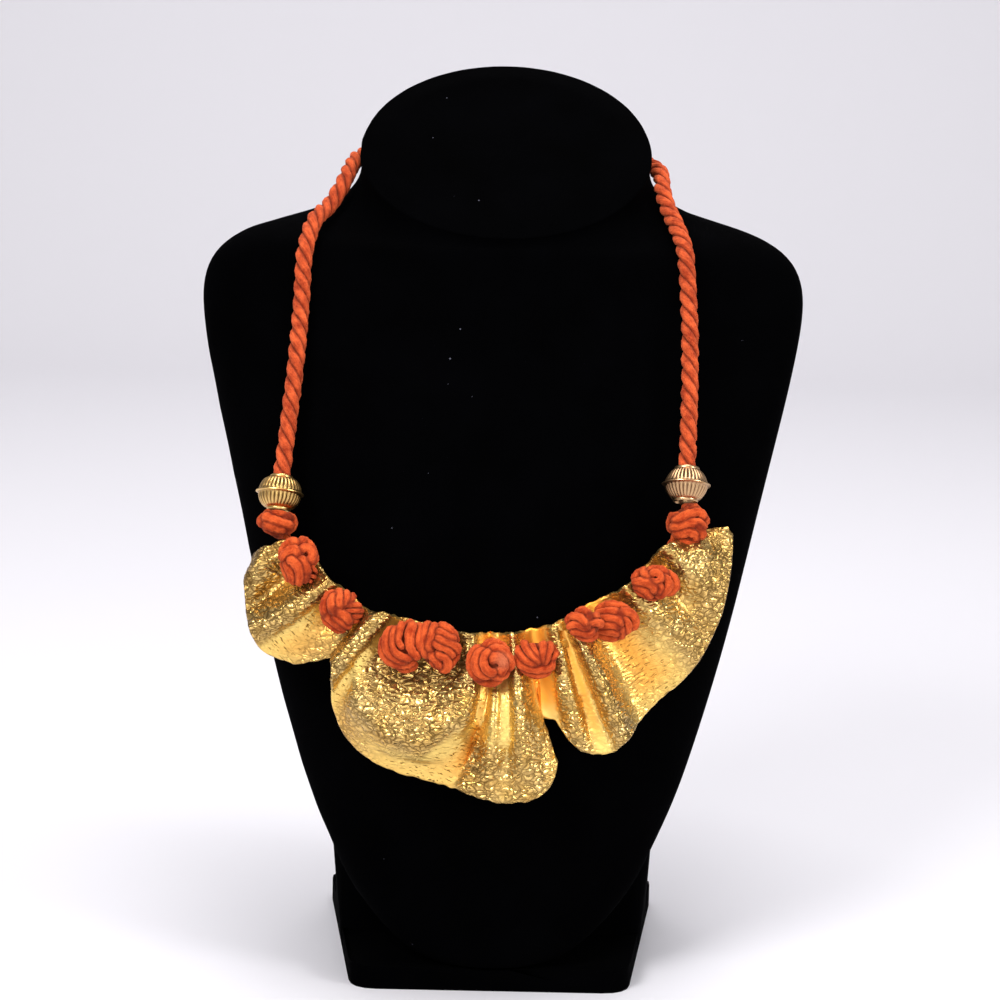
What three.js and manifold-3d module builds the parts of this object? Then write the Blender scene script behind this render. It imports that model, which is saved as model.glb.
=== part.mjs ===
// A bib necklace on its neck bust. A ruffled, cast metal bib hangs from knotted cord: the cord is laced
// behind the bib, comes through a hole in each fold and is knotted on the front. A fluted bead stands over
// each end knot, and a three-ply rope goes from each bead round the neck to a barrel clasp at the nape.
// Millimetres, +Z up, the front faces -Y, the origin is the middle of the base's underside.
import * as THREE from "three";
import { mergeVertices } from "three/addons/utils/BufferGeometryUtils.js";
import Module from "manifold-3d";

// Bust and its base
const bustHeight = 304;
const bustWidth = 214;
const bustDepth = 140;
const bustFrontY = -62;
const neckTopTilt = 35;
const baseFrontWidth = 95;
const baseBackWidth = 119;
const baseFrontY = -58;
const baseBackY = 46;
const plateThickness = 8;
const plateCornerRadius = 9;
const riserWidth = 113;
const riserHeight = 88;
const riserFrontY = -20;
const riserBackY = 40;
const riserCornerRadius = 12;

// Bib
const bibWidth = 164.5;
const bibDrop = 93;
const bibWall = 1.8;
const foldDepth = 13;
const bibWrap = 15;
const bibLean = 12;
const bibTopHeight = 162.4;
const bibAside = -3.4;
const bibTurn = 1.2;
const bibStandOff = 5.9;
const necklineShare = 0.38;

// Cord, knots and lace
const ropeDiameter = 6.2;
const laceDiameter = 3.6;
const knotStemDiameter = 3.6;
const knotSeat = 0.4;
const knotProud = 0.5;
const fitGap = 0.3;
const bustSeat = 0.5;
const knotClearance = 0.5;
const endKnotClearance = 1.1;
const rimReach = 1;
const endKnotSink = 0.9;
const endStemReach = 1.7;
const knotTurns = 5;
const knotSwell = 0.07;
const meltTolerance = 0.05;
const laceStartAside = 2.4;
const laceShoulderAside = 3;
const laceShoulderDrop = 4.65;
const laceShoulderWrap = 0.6;
const laceEndAside = 0.6;
const laceEndDepth = 2.2;
const laceEndRise = 0.82;
const laceEndRoom = 0.45;

// Beads and clasp
const beadDiameter = 16.4;
const beadHeight = 12;
const beadCollarDiameter = 8.4;
const beadCollarHeight = 0.8;
const beadSeamReach = 0.9;
const beadFluteCount = 20;
const beadFluteDepth = 0.5;
const claspDiameter = 9.4;
const claspLength = 24;
const claspRimHeight = 0.8;
const claspRimLength = 2.4;
const boreClearance = 0.3;
const ropeInsert = 3.5;
const claspInsert = 4.5;

// Facets
const bustSides = 28;
const ribSteps = 2;
const bibRows = 12;
const knotSides = 12;
const knotBands = 7;
const laceSides = 8;
const laceSteps = 44;
const ropeSides = 10;
const ropeSteps = 34;
const stemSides = 8;
const holeSides = 10;
const boreSides = 16;
const claspSides = 18;
const cornerSteps = 4;

// The bust's sections from its tip to the top of the neck: height, half width and the three depths are
// shares of the bust's height, width and depth; tilt is the share of the neck top's slant.
const bustSections = [
  { height: 0.026, half: 0.06, front: 0.03, side: 0.07, back: 0.1, tilt: 0 },
  { height: 0.031, half: 0.1, front: 0.015, side: 0.075, back: 0.125, tilt: 0 },
  { height: 0.048, half: 0.146, front: 0.004, side: 0.09, back: 0.16, tilt: 0 },
  { height: 0.076, half: 0.19, front: 0, side: 0.125, back: 0.19, tilt: 0 },
  { height: 0.112, half: 0.234, front: 0, side: 0.16, back: 0.22, tilt: 0 },
  { height: 0.15, half: 0.26, front: 0, side: 0.19, back: 0.25, tilt: 0 },
  { height: 0.2, half: 0.295, front: 0, side: 0.225, back: 0.29, tilt: 0 },
  { height: 0.26, half: 0.325, front: 0, side: 0.265, back: 0.335, tilt: 0 },
  { height: 0.335, half: 0.359, front: 0.012, side: 0.32, back: 0.385, tilt: 0 },
  { height: 0.415, half: 0.391, front: 0.036, side: 0.38, back: 0.45, tilt: 0 },
  { height: 0.5, half: 0.42, front: 0.085, side: 0.44, back: 0.53, tilt: 0 },
  { height: 0.58, half: 0.449, front: 0.155, side: 0.5, back: 0.6, tilt: 0 },
  { height: 0.645, half: 0.473, front: 0.225, side: 0.55, back: 0.66, tilt: 0 },
  { height: 0.7, half: 0.491, front: 0.295, side: 0.6, back: 0.72, tilt: 0 },
  { height: 0.74, half: 0.5, front: 0.35, side: 0.63, back: 0.76, tilt: 0.02 },
  { height: 0.772, half: 0.497, front: 0.39, side: 0.65, back: 0.79, tilt: 0.05 },
  { height: 0.8, half: 0.476, front: 0.418, side: 0.665, back: 0.815, tilt: 0.09 },
  { height: 0.82, half: 0.43, front: 0.432, side: 0.675, back: 0.84, tilt: 0.14 },
  { height: 0.83, half: 0.376, front: 0.442, side: 0.685, back: 0.865, tilt: 0.2 },
  { height: 0.838, half: 0.318, front: 0.45, side: 0.695, back: 0.895, tilt: 0.28 },
  { height: 0.85, half: 0.274, front: 0.455, side: 0.705, back: 0.93, tilt: 0.4 },
  { height: 0.865, half: 0.25, front: 0.457, side: 0.71, back: 0.958, tilt: 0.55 },
  { height: 0.882, half: 0.24, front: 0.457, side: 0.715, back: 0.98, tilt: 0.72 },
  { height: 0.9, half: 0.239, front: 0.455, side: 0.717, back: 0.992, tilt: 0.88 },
  { height: 0.913, half: 0.244, front: 0.452, side: 0.72, back: 1, tilt: 1 },
];

// The bib's ribs from its left corner to its right one, each a fold's line from the neckline down to the
// hem. Places are shares of the bib's width and drop, counted from its upper left; top, mid and hem are
// depths as shares of the fold depth, with mid reached at the share midAt of the rib; bow moves the rib's
// middle aside, as a share of the width.
const bibRibs = [
  { name: "left_corner", topX: 0.022, topZ: 0.1, hemX: 0.006, hemZ: 0.165, top: 0.45, midAt: 0.5, mid: 0.5, hem: 0.45, bow: 0 },
  { name: "left_lip", topX: 0.055, topZ: 0.07, hemX: 0.002, hemZ: 0.215, top: 0.75, midAt: 0.5, mid: 0.85, hem: 0.6, bow: 0 },
  { name: "left_brow", topX: 0.098, topZ: 0.052, hemX: 0.002, hemZ: 0.26, top: 0.6, midAt: 0.5, mid: 0.7, hem: 0.6, bow: 0 },
  { name: "valley_one", topX: 0.139, topZ: 0.1, hemX: 0.004, hemZ: 0.31, top: 0, midAt: 0.6, mid: 0.3, hem: 0.5, bow: 0.01 },
  { name: "ridge_one", topX: 0.183, topZ: 0.197, hemX: 0.014, hemZ: 0.385, top: 0.8, midAt: 0.5, mid: 1, hem: 0.9, bow: 0.01 },
  { name: "under_one", topX: 0.196, topZ: 0.21, hemX: 0.04, hemZ: 0.458, top: 0.5, midAt: 0.5, mid: 0.5, hem: 0.35, bow: 0.01 },
  { name: "valley_two", topX: 0.224, topZ: 0.25, hemX: 0.112, hemZ: 0.5, top: 0, midAt: 0.65, mid: 0.3, hem: 0.2, bow: 0 },
  { name: "left_notch", topX: 0.258, topZ: 0.3, hemX: 0.179, hemZ: 0.475, top: 0.45, midAt: 0.5, mid: 0.4, hem: 0.3, bow: 0 },
  { name: "ridge_two", topX: 0.285, topZ: 0.305, hemX: 0.183, hemZ: 0.51, top: 0.9, midAt: 0.5, mid: 1, hem: 0.9, bow: 0 },
  { name: "under_two", topX: 0.306, topZ: 0.32, hemX: 0.18, hemZ: 0.61, top: 0.5, midAt: 0.55, mid: 0.62, hem: 0.35, bow: 0 },
  { name: "bowl_left", topX: 0.334, topZ: 0.335, hemX: 0.204, hemZ: 0.75, top: 0.1, midAt: 0.68, mid: 0.75, hem: 0.05, bow: -0.012 },
  { name: "bowl_middle", topX: 0.37, topZ: 0.35, hemX: 0.275, hemZ: 0.86, top: 0, midAt: 0.74, mid: 0.9, hem: -0.2, bow: 0 },
  { name: "bowl_right", topX: 0.412, topZ: 0.365, hemX: 0.335, hemZ: 0.898, top: 0.1, midAt: 0.74, mid: 0.95, hem: -0.2, bow: 0.012 },
  { name: "ridge_three", topX: 0.458, topZ: 0.38, hemX: 0.375, hemZ: 0.916, top: 0.6, midAt: 0.5, mid: 1, hem: -0.05, bow: 0.04 },
  { name: "groove_four", topX: 0.482, topZ: 0.382, hemX: 0.42, hemZ: 0.938, top: 0.2, midAt: 0.5, mid: 0.3, hem: 0.05, bow: 0.03 },
  { name: "valley_four", topX: 0.5, topZ: 0.384, hemX: 0.452, hemZ: 0.958, top: 0, midAt: 0.55, mid: 0.45, hem: 0.25, bow: 0.018 },
  { name: "swell_four", topX: 0.517, topZ: 0.386, hemX: 0.49, hemZ: 0.982, top: 0.15, midAt: 0.6, mid: 0.8, hem: 0.35, bow: 0.008 },
  { name: "crease_four", topX: 0.533, topZ: 0.384, hemX: 0.534, hemZ: 0.994, top: 0.25, midAt: 0.6, mid: 0.5, hem: 0.4, bow: 0.004 },
  { name: "ridge_four", topX: 0.547, topZ: 0.38, hemX: 0.578, hemZ: 0.986, top: 0.8, midAt: 0.5, mid: 0.95, hem: 0.6, bow: 0 },
  { name: "slope_four", topX: 0.558, topZ: 0.378, hemX: 0.62, hemZ: 0.95, top: 0.45, midAt: 0.5, mid: 0.65, hem: 0.4, bow: -0.004 },
  { name: "lobe_edge", topX: 0.568, topZ: 0.376, hemX: 0.642, hemZ: 0.868, top: 0.2, midAt: 0.5, mid: 0.35, hem: 0.3, bow: -0.008 },
  { name: "notch_left", topX: 0.578, topZ: 0.373, hemX: 0.626, hemZ: 0.765, top: 0.06, midAt: 0.5, mid: 0.12, hem: 0.22, bow: -0.009 },
  { name: "notch_shoulder", topX: 0.588, topZ: 0.37, hemX: 0.613, hemZ: 0.7, top: 0, midAt: 0.5, mid: 0.04, hem: 0.12, bow: -0.002 },
  { name: "valley_five", topX: 0.6, topZ: 0.366, hemX: 0.625, hemZ: 0.674, top: 0, midAt: 0.5, mid: 0, hem: 0.05, bow: 0 },
  { name: "notch_right", topX: 0.612, topZ: 0.36, hemX: 0.641, hemZ: 0.7, top: 0.08, midAt: 0.5, mid: 0.1, hem: 0.15, bow: 0 },
  { name: "strip_five", topX: 0.626, topZ: 0.352, hemX: 0.662, hemZ: 0.767, top: 0.4, midAt: 0.5, mid: 0.5, hem: 0.35, bow: 0 },
  { name: "strip_edge", topX: 0.635, topZ: 0.346, hemX: 0.692, hemZ: 0.81, top: 0.45, midAt: 0.5, mid: 0.6, hem: 0.5, bow: 0 },
  { name: "groove_five", topX: 0.645, topZ: 0.338, hemX: 0.737, hemZ: 0.822, top: 0.15, midAt: 0.5, mid: 0.1, hem: 0.3, bow: 0 },
  { name: "ridge_five", topX: 0.66, topZ: 0.325, hemX: 0.78, hemZ: 0.775, top: 0.9, midAt: 0.5, mid: 1, hem: 0.85, bow: 0.004 },
  { name: "slope_five", topX: 0.674, topZ: 0.312, hemX: 0.808, hemZ: 0.703, top: 0.5, midAt: 0.5, mid: 0.5, hem: 0.3, bow: 0.008 },
  { name: "valley_six", topX: 0.7, topZ: 0.285, hemX: 0.855, hemZ: 0.62, top: 0, midAt: 0.55, mid: 0.15, hem: 0.2, bow: 0.008 },
  { name: "slope_six", topX: 0.742, topZ: 0.25, hemX: 0.897, hemZ: 0.56, top: 0.2, midAt: 0.5, mid: 0.45, hem: 0.3, bow: 0.006 },
  { name: "ridge_six", topX: 0.778, topZ: 0.215, hemX: 0.93, hemZ: 0.49, top: 0.8, midAt: 0.4, mid: 0.8, hem: 0.4, bow: 0.006 },
  { name: "valley_seven", topX: 0.822, topZ: 0.14, hemX: 0.958, hemZ: 0.405, top: 0.05, midAt: 0.55, mid: 0.4, hem: 0.45, bow: 0.006 },
  { name: "ridge_seven", topX: 0.854, topZ: 0.072, hemX: 0.985, hemZ: 0.275, top: 0.75, midAt: 0.5, mid: 0.85, hem: 0.6, bow: 0 },
  { name: "right_field", topX: 0.888, topZ: 0.06, hemX: 0.996, hemZ: 0.16, top: 0.35, midAt: 0.5, mid: 0.75, hem: 0.65, bow: 0 },
  { name: "valley_eight", topX: 0.93, topZ: 0.055, hemX: 0.999, hemZ: 0.1, top: 0.15, midAt: 0.5, mid: 0.4, hem: 0.55, bow: 0 },
  { name: "right_corner", topX: 0.99, topZ: 0.004, hemX: 1, hemZ: 0.03, top: 0.5, midAt: 0.5, mid: 0.5, hem: 0.5, bow: 0 },
];

// The knots on the bib's front: place as shares of the bib's width and drop, sizes in millimetres, turn in
// degrees clockwise.
const frontKnots = [
  { name: "front_knot_1", x: 0.11, z: 0.13, wide: 12.6, high: 17.2, thick: 12, turn: -12 },
  { name: "front_knot_2", x: 0.198, z: 0.3, wide: 15.4, high: 15.2, thick: 12, turn: 30 },
  { name: "front_knot_3", x: 0.318, z: 0.435, wide: 15.8, high: 17.4, thick: 13, turn: 35 },
  { name: "front_knot_4", x: 0.404, z: 0.43, wide: 14, high: 18.6, thick: 13, turn: -15 },
  { name: "front_knot_5", x: 0.502, z: 0.482, wide: 17, high: 16, thick: 13.4, turn: 0 },
  { name: "front_knot_6", x: 0.594, z: 0.467, wide: 14.6, high: 13.6, thick: 11.5, turn: 0 },
  { name: "front_knot_7", x: 0.686, z: 0.355, wide: 11.4, high: 12.4, thick: 11, turn: 20 },
  { name: "front_knot_8", x: 0.752, z: 0.335, wide: 15.8, high: 14.6, thick: 12, turn: 0 },
  { name: "front_knot_9", x: 0.832, z: 0.2, wide: 16.4, high: 12, thick: 11.5, turn: -8 },
];

// The end knots under the beads, in the same terms.
const endKnots = [
  { name: "end_knot_left", wide: 14.8, high: 11, thick: 10, turn: 12 },
  { name: "end_knot_right", wide: 15.4, high: 16, thick: 11, turn: 20 },
];

// The bust and bib that the ropes' points are drawn round, and the height where a rope leaves the chest.
const drawnRound = { bustHeight: 304, bustWidth: 214, bibTopHeight: 162.4, bibWidth: 164.5, neckHeight: 244.8 };

// The middle lines of the two ropes, from inside the bead to inside the clasp, in millimetres.
const leftRopePoints = [
  [-73.9, -37.6, 171.1], [-73.3, -34.6, 178], [-72.3, -30, 188], [-71.2, -24.8, 199], [-70.3, -18.4, 210],
  [-69.6, -11.4, 221], [-69.2, -4, 232.4], [-68.8, 2.4, 244.8], [-66.3, 13.2, 254.6], [-61.6, 24.6, 258.8],
  [-57, 33.2, 266], [-54.8, 42, 270.6], [-52.2, 51.8, 273], [-46, 60.9, 274], [-37, 67.8, 275],
  [-27.3, 73.6, 275.7], [-20, 76.8, 275.9], [-14, 77.6, 276], [-7.5, 77.7, 276],
];
const rightRopePoints = [
  [63, -41.2, 177.6], [63.3, -37.8, 185], [63.6, -33, 195], [63.9, -27, 205], [64, -20.2, 216], [63.8, -12.6, 227],
  [63.3, -4.6, 237.6], [62.5, 3, 247.6], [60.2, 13.6, 254.3], [57.4, 23.6, 259.4], [55.4, 32.8, 265.6],
  [55, 42, 269.8], [52.2, 52.2, 271.6], [45.6, 61, 273.2], [37, 67.8, 274.6], [27.3, 73.6, 275.6],
  [20, 76.8, 275.9], [14, 77.6, 276], [7.5, 77.7, 276],
];

const cordColour = 0xb8452a;
const goldColour = 0xe0b04a;
const paleGoldColour = 0xb99a6b;
const velvetColour = 0x060607;

const wasm = await Module();
wasm.setup();

// A closed geometry as a manifold solid.
function solidOf(geometry) {
  const bare = new THREE.BufferGeometry().setAttribute("position", geometry.getAttribute("position"));
  if (geometry.index) bare.setIndex(geometry.index);
  const merged = mergeVertices(bare, 1e-4);
  return new wasm.Manifold(
    new wasm.Mesh({
      numProp: 3,
      vertProperties: merged.attributes.position.array,
      triVerts: new Uint32Array(merged.index.array),
    }),
  );
}

// A manifold solid as a geometry with flat faces.
function geometryOf(solid) {
  const mesh = solid.getMesh();
  const points = new Float32Array(mesh.numVert * 3);
  for (let i = 0; i < mesh.numVert; i++) {
    const start = i * mesh.numProp;
    points.set(mesh.vertProperties.subarray(start, start + 3), i * 3);
  }
  const indexed = new THREE.BufferGeometry()
    .setAttribute("position", new THREE.BufferAttribute(points, 3))
    .setIndex(new THREE.BufferAttribute(mesh.triVerts, 1));
  const flat = indexed.toNonIndexed();
  flat.computeVertexNormals();
  return flat;
}

// The largest of a solid's separate bodies.
function largestBody(solid) {
  return solid.decompose().reduce((best, body) => (body.volume() > best.volume() ? body : best));
}

// Values through rows of a table, with no overshoot: each row's tangent is zero at a peak or a valley.
function smoothTable(rows, column) {
  const values = rows.map((row) => row[column]);
  const slopes = values.slice(1).map((value, i) => value - values[i]);
  const tangents = values.map((_, i) => {
    const before = slopes[i - 1];
    const after = slopes[i];
    if (before === undefined) return after;
    if (after === undefined) return before;
    return before * after <= 0 ? 0 : (2 * before * after) / (before + after);
  });
  return (at) => {
    const i = Math.min(Math.floor(at), values.length - 2);
    const t = at - i;
    const rise = t * t * (3 - 2 * t);
    const leave = t * (1 - t) * (1 - t);
    const arrive = -t * t * (1 - t);
    return values[i] + rise * slopes[i] + leave * tangents[i] + arrive * tangents[i + 1];
  };
}

// A closed body from rings of points that all have the same number, each cap a fan round its middle.
function loft(rings) {
  const sides = rings[0].length;
  const middle = (ring) =>
    ring.reduce((sum, point) => sum.add(point), new THREE.Vector3()).divideScalar(sides);
  const points = [...rings.flat(), middle(rings[0]), middle(rings.at(-1))];
  const low = rings.length * sides;
  const high = low + 1;
  const faces = [];
  for (let side = 0; side < sides; side++) {
    const next = (side + 1) % sides;
    faces.push(low, next, side);
    for (let ring = 0; ring < rings.length - 1; ring++) {
      const a = ring * sides + side;
      const b = ring * sides + next;
      faces.push(a, b, b + sides, a, b + sides, a + sides);
    }
    const last = (rings.length - 1) * sides;
    faces.push(high, last + side, last + next);
  }
  return new THREE.BufferGeometry().setFromPoints(points).setIndex(faces);
}

// The bust's ring at a section, grown outwards by a margin. It runs anticlockwise seen from above.
function bustRing(section, margin = 0) {
  const half = section.half * bustWidth + margin;
  const front = bustFrontY + section.front * bustDepth - margin;
  const side = bustFrontY + section.side * bustDepth;
  const back = bustFrontY + section.back * bustDepth + margin;
  const slope = Math.tan(THREE.MathUtils.degToRad(neckTopTilt)) * section.tilt;
  return Array.from({ length: bustSides }, (_, i) => {
    const angle = (i / bustSides) * Math.PI * 2 - Math.PI / 2;
    const across = Math.cos(angle);
    const along = Math.sin(angle);
    const depth = along < 0 ? side + (side - front) * along : side + (back - side) * along;
    return new THREE.Vector3(across * half, depth, section.height * bustHeight + (depth - side) * slope);
  });
}

function bustBody(margin = 0) {
  const rings = bustSections.map((section) => bustRing(section, margin));
  if (margin > 0) {
    rings[0].forEach((point) => point.setZ(point.z - margin));
    rings.at(-1).forEach((point) => point.setZ(point.z + margin));
  }
  return loft(rings);
}

// The depth of the bust's front at a height, and at a place across it.
function chestY(height, x = 0) {
  const share = height / bustHeight;
  const next = bustSections.findIndex((section) => section.height > share);
  const [a, b] = [bustSections[next - 1], bustSections[next]];
  const t = (share - a.height) / (b.height - a.height);
  const at = (column) => a[column] + t * (b[column] - a[column]);
  const across = Math.min(Math.abs(x) / (at("half") * bustWidth), 1);
  const bulge = Math.sqrt(1 - across * across);
  return bustFrontY + (at("side") - (at("side") - at("front")) * bulge) * bustDepth;
}

// A rope's points fitted to the bust and the bib: its lower end follows the bib's corner, its upper end the
// neck, and all of it keeps its distance from the chest.
function fittedRoute(points) {
  const tall = bustHeight / drawnRound.bustHeight;
  const broad = bustWidth / drawnRound.bustWidth;
  const footHeight = points[0][2];
  return points.map(([x, y, z]) => {
    const low = THREE.MathUtils.clamp((drawnRound.neckHeight - z) / (drawnRound.neckHeight - footHeight), 0, 1);
    const wider = (Math.sign(x) * (bibWidth - drawnRound.bibWidth)) / 2;
    const newX = low * (x + wider) + (1 - low) * x * broad;
    const newZ = low * (z + bibTopHeight - drawnRound.bibTopHeight) + (1 - low) * z * tall;
    const newY = y + chestY(newZ, newX) - chestY(z * tall, x * broad);
    return new THREE.Vector3(newX, newY, newZ);
  });
}

// A four-sided plan with round corners, drawn from its front edge to its back edge.
function roundedPlan(frontWidth, backWidth, frontY, backY, radius) {
  const corners = [
    [-frontWidth / 2, frontY],
    [frontWidth / 2, frontY],
    [backWidth / 2, backY],
    [-backWidth / 2, backY],
  ].map(([x, y]) => new THREE.Vector2(x, y));
  const plan = new THREE.Shape();
  corners.forEach((corner, i) => {
    const before = corners[(i + 3) % 4];
    const after = corners[(i + 1) % 4];
    const start = corner.clone().add(before.clone().sub(corner).setLength(radius));
    const end = corner.clone().add(after.clone().sub(corner).setLength(radius));
    if (i === 0) plan.moveTo(start.x, start.y);
    else plan.lineTo(start.x, start.y);
    plan.quadraticCurveTo(corner.x, corner.y, end.x, end.y);
  });
  plan.closePath();
  return plan;
}

function upright(plan, depth) {
  return solidOf(new THREE.ExtrudeGeometry(plan, { depth, bevelEnabled: false, curveSegments: cornerSteps }));
}

// The plate that stands on the table and the riser that carries the bust's back.
function bustBase() {
  const platePlan = roundedPlan(baseFrontWidth, baseBackWidth, baseFrontY, baseBackY, plateCornerRadius);
  const riserPlan = roundedPlan(riserWidth, riserWidth, riserFrontY, riserBackY, riserCornerRadius);
  return upright(platePlan, plateThickness)
    .add(upright(riserPlan, riserHeight))
    .subtract(solidOf(bustBody(bustSeat)));
}

const ribColumns = ["topX", "topZ", "hemX", "hemZ", "top", "midAt", "mid", "hem", "bow"];
const ribCurves = Object.fromEntries(ribColumns.map((column) => [column, smoothTable(bibRibs, column)]));

// A point of the bib's middle surface in the bib's own frame: X across, Y towards the chest, Z up, with the
// origin at the middle of the bib's upper edge. rib counts along the table, down is 0 at the neckline.
function bibPoint(rib, down) {
  const at = Object.fromEntries(ribColumns.map((column) => [column, ribCurves[column](rib)]));
  const aside = at.bow * 4 * down * (1 - down);
  const x = (at.topX + (at.hemX - at.topX) * down + aside - 0.5) * bibWidth;
  const z = -(at.topZ + (at.hemZ - at.topZ) * down) * bibDrop;
  const upper = down < at.midAt;
  const t = upper ? down / at.midAt : (down - at.midAt) / (1 - at.midAt);
  const ease = t * t * (3 - 2 * t);
  const depth = upper ? at.top + (at.mid - at.top) * ease : at.mid + (at.hem - at.mid) * ease;
  const sideways = x / (bibWidth / 2);
  return new THREE.Vector3(x, bibWrap * sideways * sideways - depth * foldDepth, z);
}

// The way square to the bib's middle surface, towards the chest.
function bibNormal(rib, down) {
  const step = 0.02;
  const last = bibRibs.length - 1;
  const across = bibPoint(Math.min(rib + step, last), down).sub(bibPoint(Math.max(rib - step, 0), down));
  const along = bibPoint(rib, down + step).sub(bibPoint(rib, down - step));
  return across.cross(along).normalize();
}

// The bib's sheet with a wall of a given thickness, closed by a rim, and carried on past its neckline and
// its hem by a given reach. Its front faces -Y.
function bibSheet(wall, reach = 0) {
  const columns = (bibRibs.length - 1) * ribSteps + 1;
  const even = Array.from({ length: bibRows + 1 }, (_, row) => row / bibRows);
  const rows = even.length + (reach > 0 ? 2 : 0);
  const points = [];
  for (const side of [-1, 1]) {
    for (let column = 0; column < columns; column++) {
      const rib = column / ribSteps;
      const past = reach / bibPoint(rib, 0).distanceTo(bibPoint(rib, 1));
      for (const down of reach > 0 ? [-past, ...even, 1 + past] : even) {
        points.push(bibPoint(rib, down).addScaledVector(bibNormal(rib, down), (side * wall) / 2));
      }
    }
  }
  const back = columns * rows;
  const at = (column, row) => column * rows + row;
  const faces = [];
  const quad = (a, b, c, d) => faces.push(a, b, c, a, c, d);
  for (let column = 0; column < columns - 1; column++) {
    for (let row = 0; row < rows - 1; row++) {
      const corners = [at(column, row), at(column, row + 1), at(column + 1, row + 1), at(column + 1, row)];
      quad(...corners);
      quad(...corners.map((corner) => corner + back).reverse());
    }
    const [top, nextTop] = [at(column, 0), at(column + 1, 0)];
    const [hem, nextHem] = [at(column, rows - 1), at(column + 1, rows - 1)];
    quad(top, nextTop, nextTop + back, top + back);
    quad(nextHem, hem, hem + back, nextHem + back);
  }
  for (let row = 0; row < rows - 1; row++) {
    const [left, nextLeft] = [at(0, row), at(0, row + 1)];
    const [right, nextRight] = [at(columns - 1, row), at(columns - 1, row + 1)];
    quad(nextLeft, left, left + back, nextLeft + back);
    quad(right, nextRight, nextRight + back, right + back);
  }
  return new THREE.BufferGeometry().setFromPoints(points).setIndex(faces);
}

// The depth of the bib's middle surface behind a place given in shares of its width and drop.
function bibDepthAt(shareX, shareZ) {
  const x = (shareX - 0.5) * bibWidth;
  const z = -shareZ * bibDrop;
  let nearest = { away: Infinity, depth: 0 };
  const ribPlaces = (bibRibs.length - 1) * 8;
  const downPlaces = 40;
  for (let i = 0; i <= ribPlaces; i++) {
    for (let j = 0; j <= downPlaces; j++) {
      const point = bibPoint(i / 8, j / downPlaces);
      const away = Math.hypot(point.x - x, point.z - z);
      if (away < nearest.away) nearest = { away, depth: point.y };
    }
  }
  return nearest.depth;
}

// A round bar along Y between two depths, in the bib's frame.
function barAlongDepth(x, z, nearY, farY, diameter, sides) {
  return new THREE.CylinderGeometry(diameter / 2, diameter / 2, farY - nearY, sides).translate(
    x,
    (nearY + farY) / 2,
    z,
  );
}

// A wound knot as one lump with the swells of its turns.
function knotLump({ wide, high, thick, turn }) {
  const lump = new THREE.SphereGeometry(1, knotSides, knotBands);
  const place = lump.getAttribute("position");
  const point = new THREE.Vector3();
  for (let i = 0; i < place.count; i++) {
    point.fromBufferAttribute(place, i);
    const round = Math.atan2(point.z, point.x) + point.y;
    point.multiplyScalar(1 - knotSwell + knotSwell * Math.cos(knotTurns * round) * (1 - point.y * point.y));
    place.setXYZ(i, point.x, point.y, point.z);
  }
  return lump
    .scale(wide / 2, high / 2, thick / 2)
    .rotateX(Math.PI / 2)
    .rotateY(THREE.MathUtils.degToRad(turn));
}

// A body along a curve with a round section.
function tube(curve, diameter, sides, steps) {
  const section = new THREE.Shape(
    Array.from({ length: sides }, (_, i) => {
      const angle = (i / sides) * Math.PI * 2;
      return new THREE.Vector2((Math.cos(angle) * diameter) / 2, (Math.sin(angle) * diameter) / 2);
    }),
  );
  return new THREE.ExtrudeGeometry(section, { steps, extrudePath: curve, bevelEnabled: false });
}

// The bib hangs leaning back with the chest, a little off it, with the lace in the room behind.
const bibFrame = new THREE.Group();
const leanBack = THREE.MathUtils.degToRad(bibLean);
const necklineHeight = bibTopHeight - necklineShare * bibDrop * Math.cos(leanBack);
const necklineY = chestY(necklineHeight) - bibStandOff;
bibFrame.position.set(bibAside, necklineY + necklineShare * bibDrop * Math.sin(leanBack), bibTopHeight);
bibFrame.rotation.set(-leanBack, THREE.MathUtils.degToRad(-bibTurn), 0);
bibFrame.updateMatrixWorld(true);

const materials = {
  gold: new THREE.MeshStandardMaterial({ color: goldColour, metalness: 1, roughness: 0.22 }),
  paleGold: new THREE.MeshStandardMaterial({ color: paleGoldColour, metalness: 1, roughness: 0.38 }),
  cord: new THREE.MeshStandardMaterial({ color: cordColour, metalness: 0, roughness: 0.9 }),
  velvet: new THREE.MeshStandardMaterial({ color: velvetColour, metalness: 0, roughness: 1 }),
};

function named(name, solidOrGeometry, material) {
  const geometry = solidOrGeometry.isBufferGeometry ? solidOrGeometry : geometryOf(solidOrGeometry);
  const mesh = new THREE.Mesh(geometry, material);
  mesh.name = name;
  return mesh;
}

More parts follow.
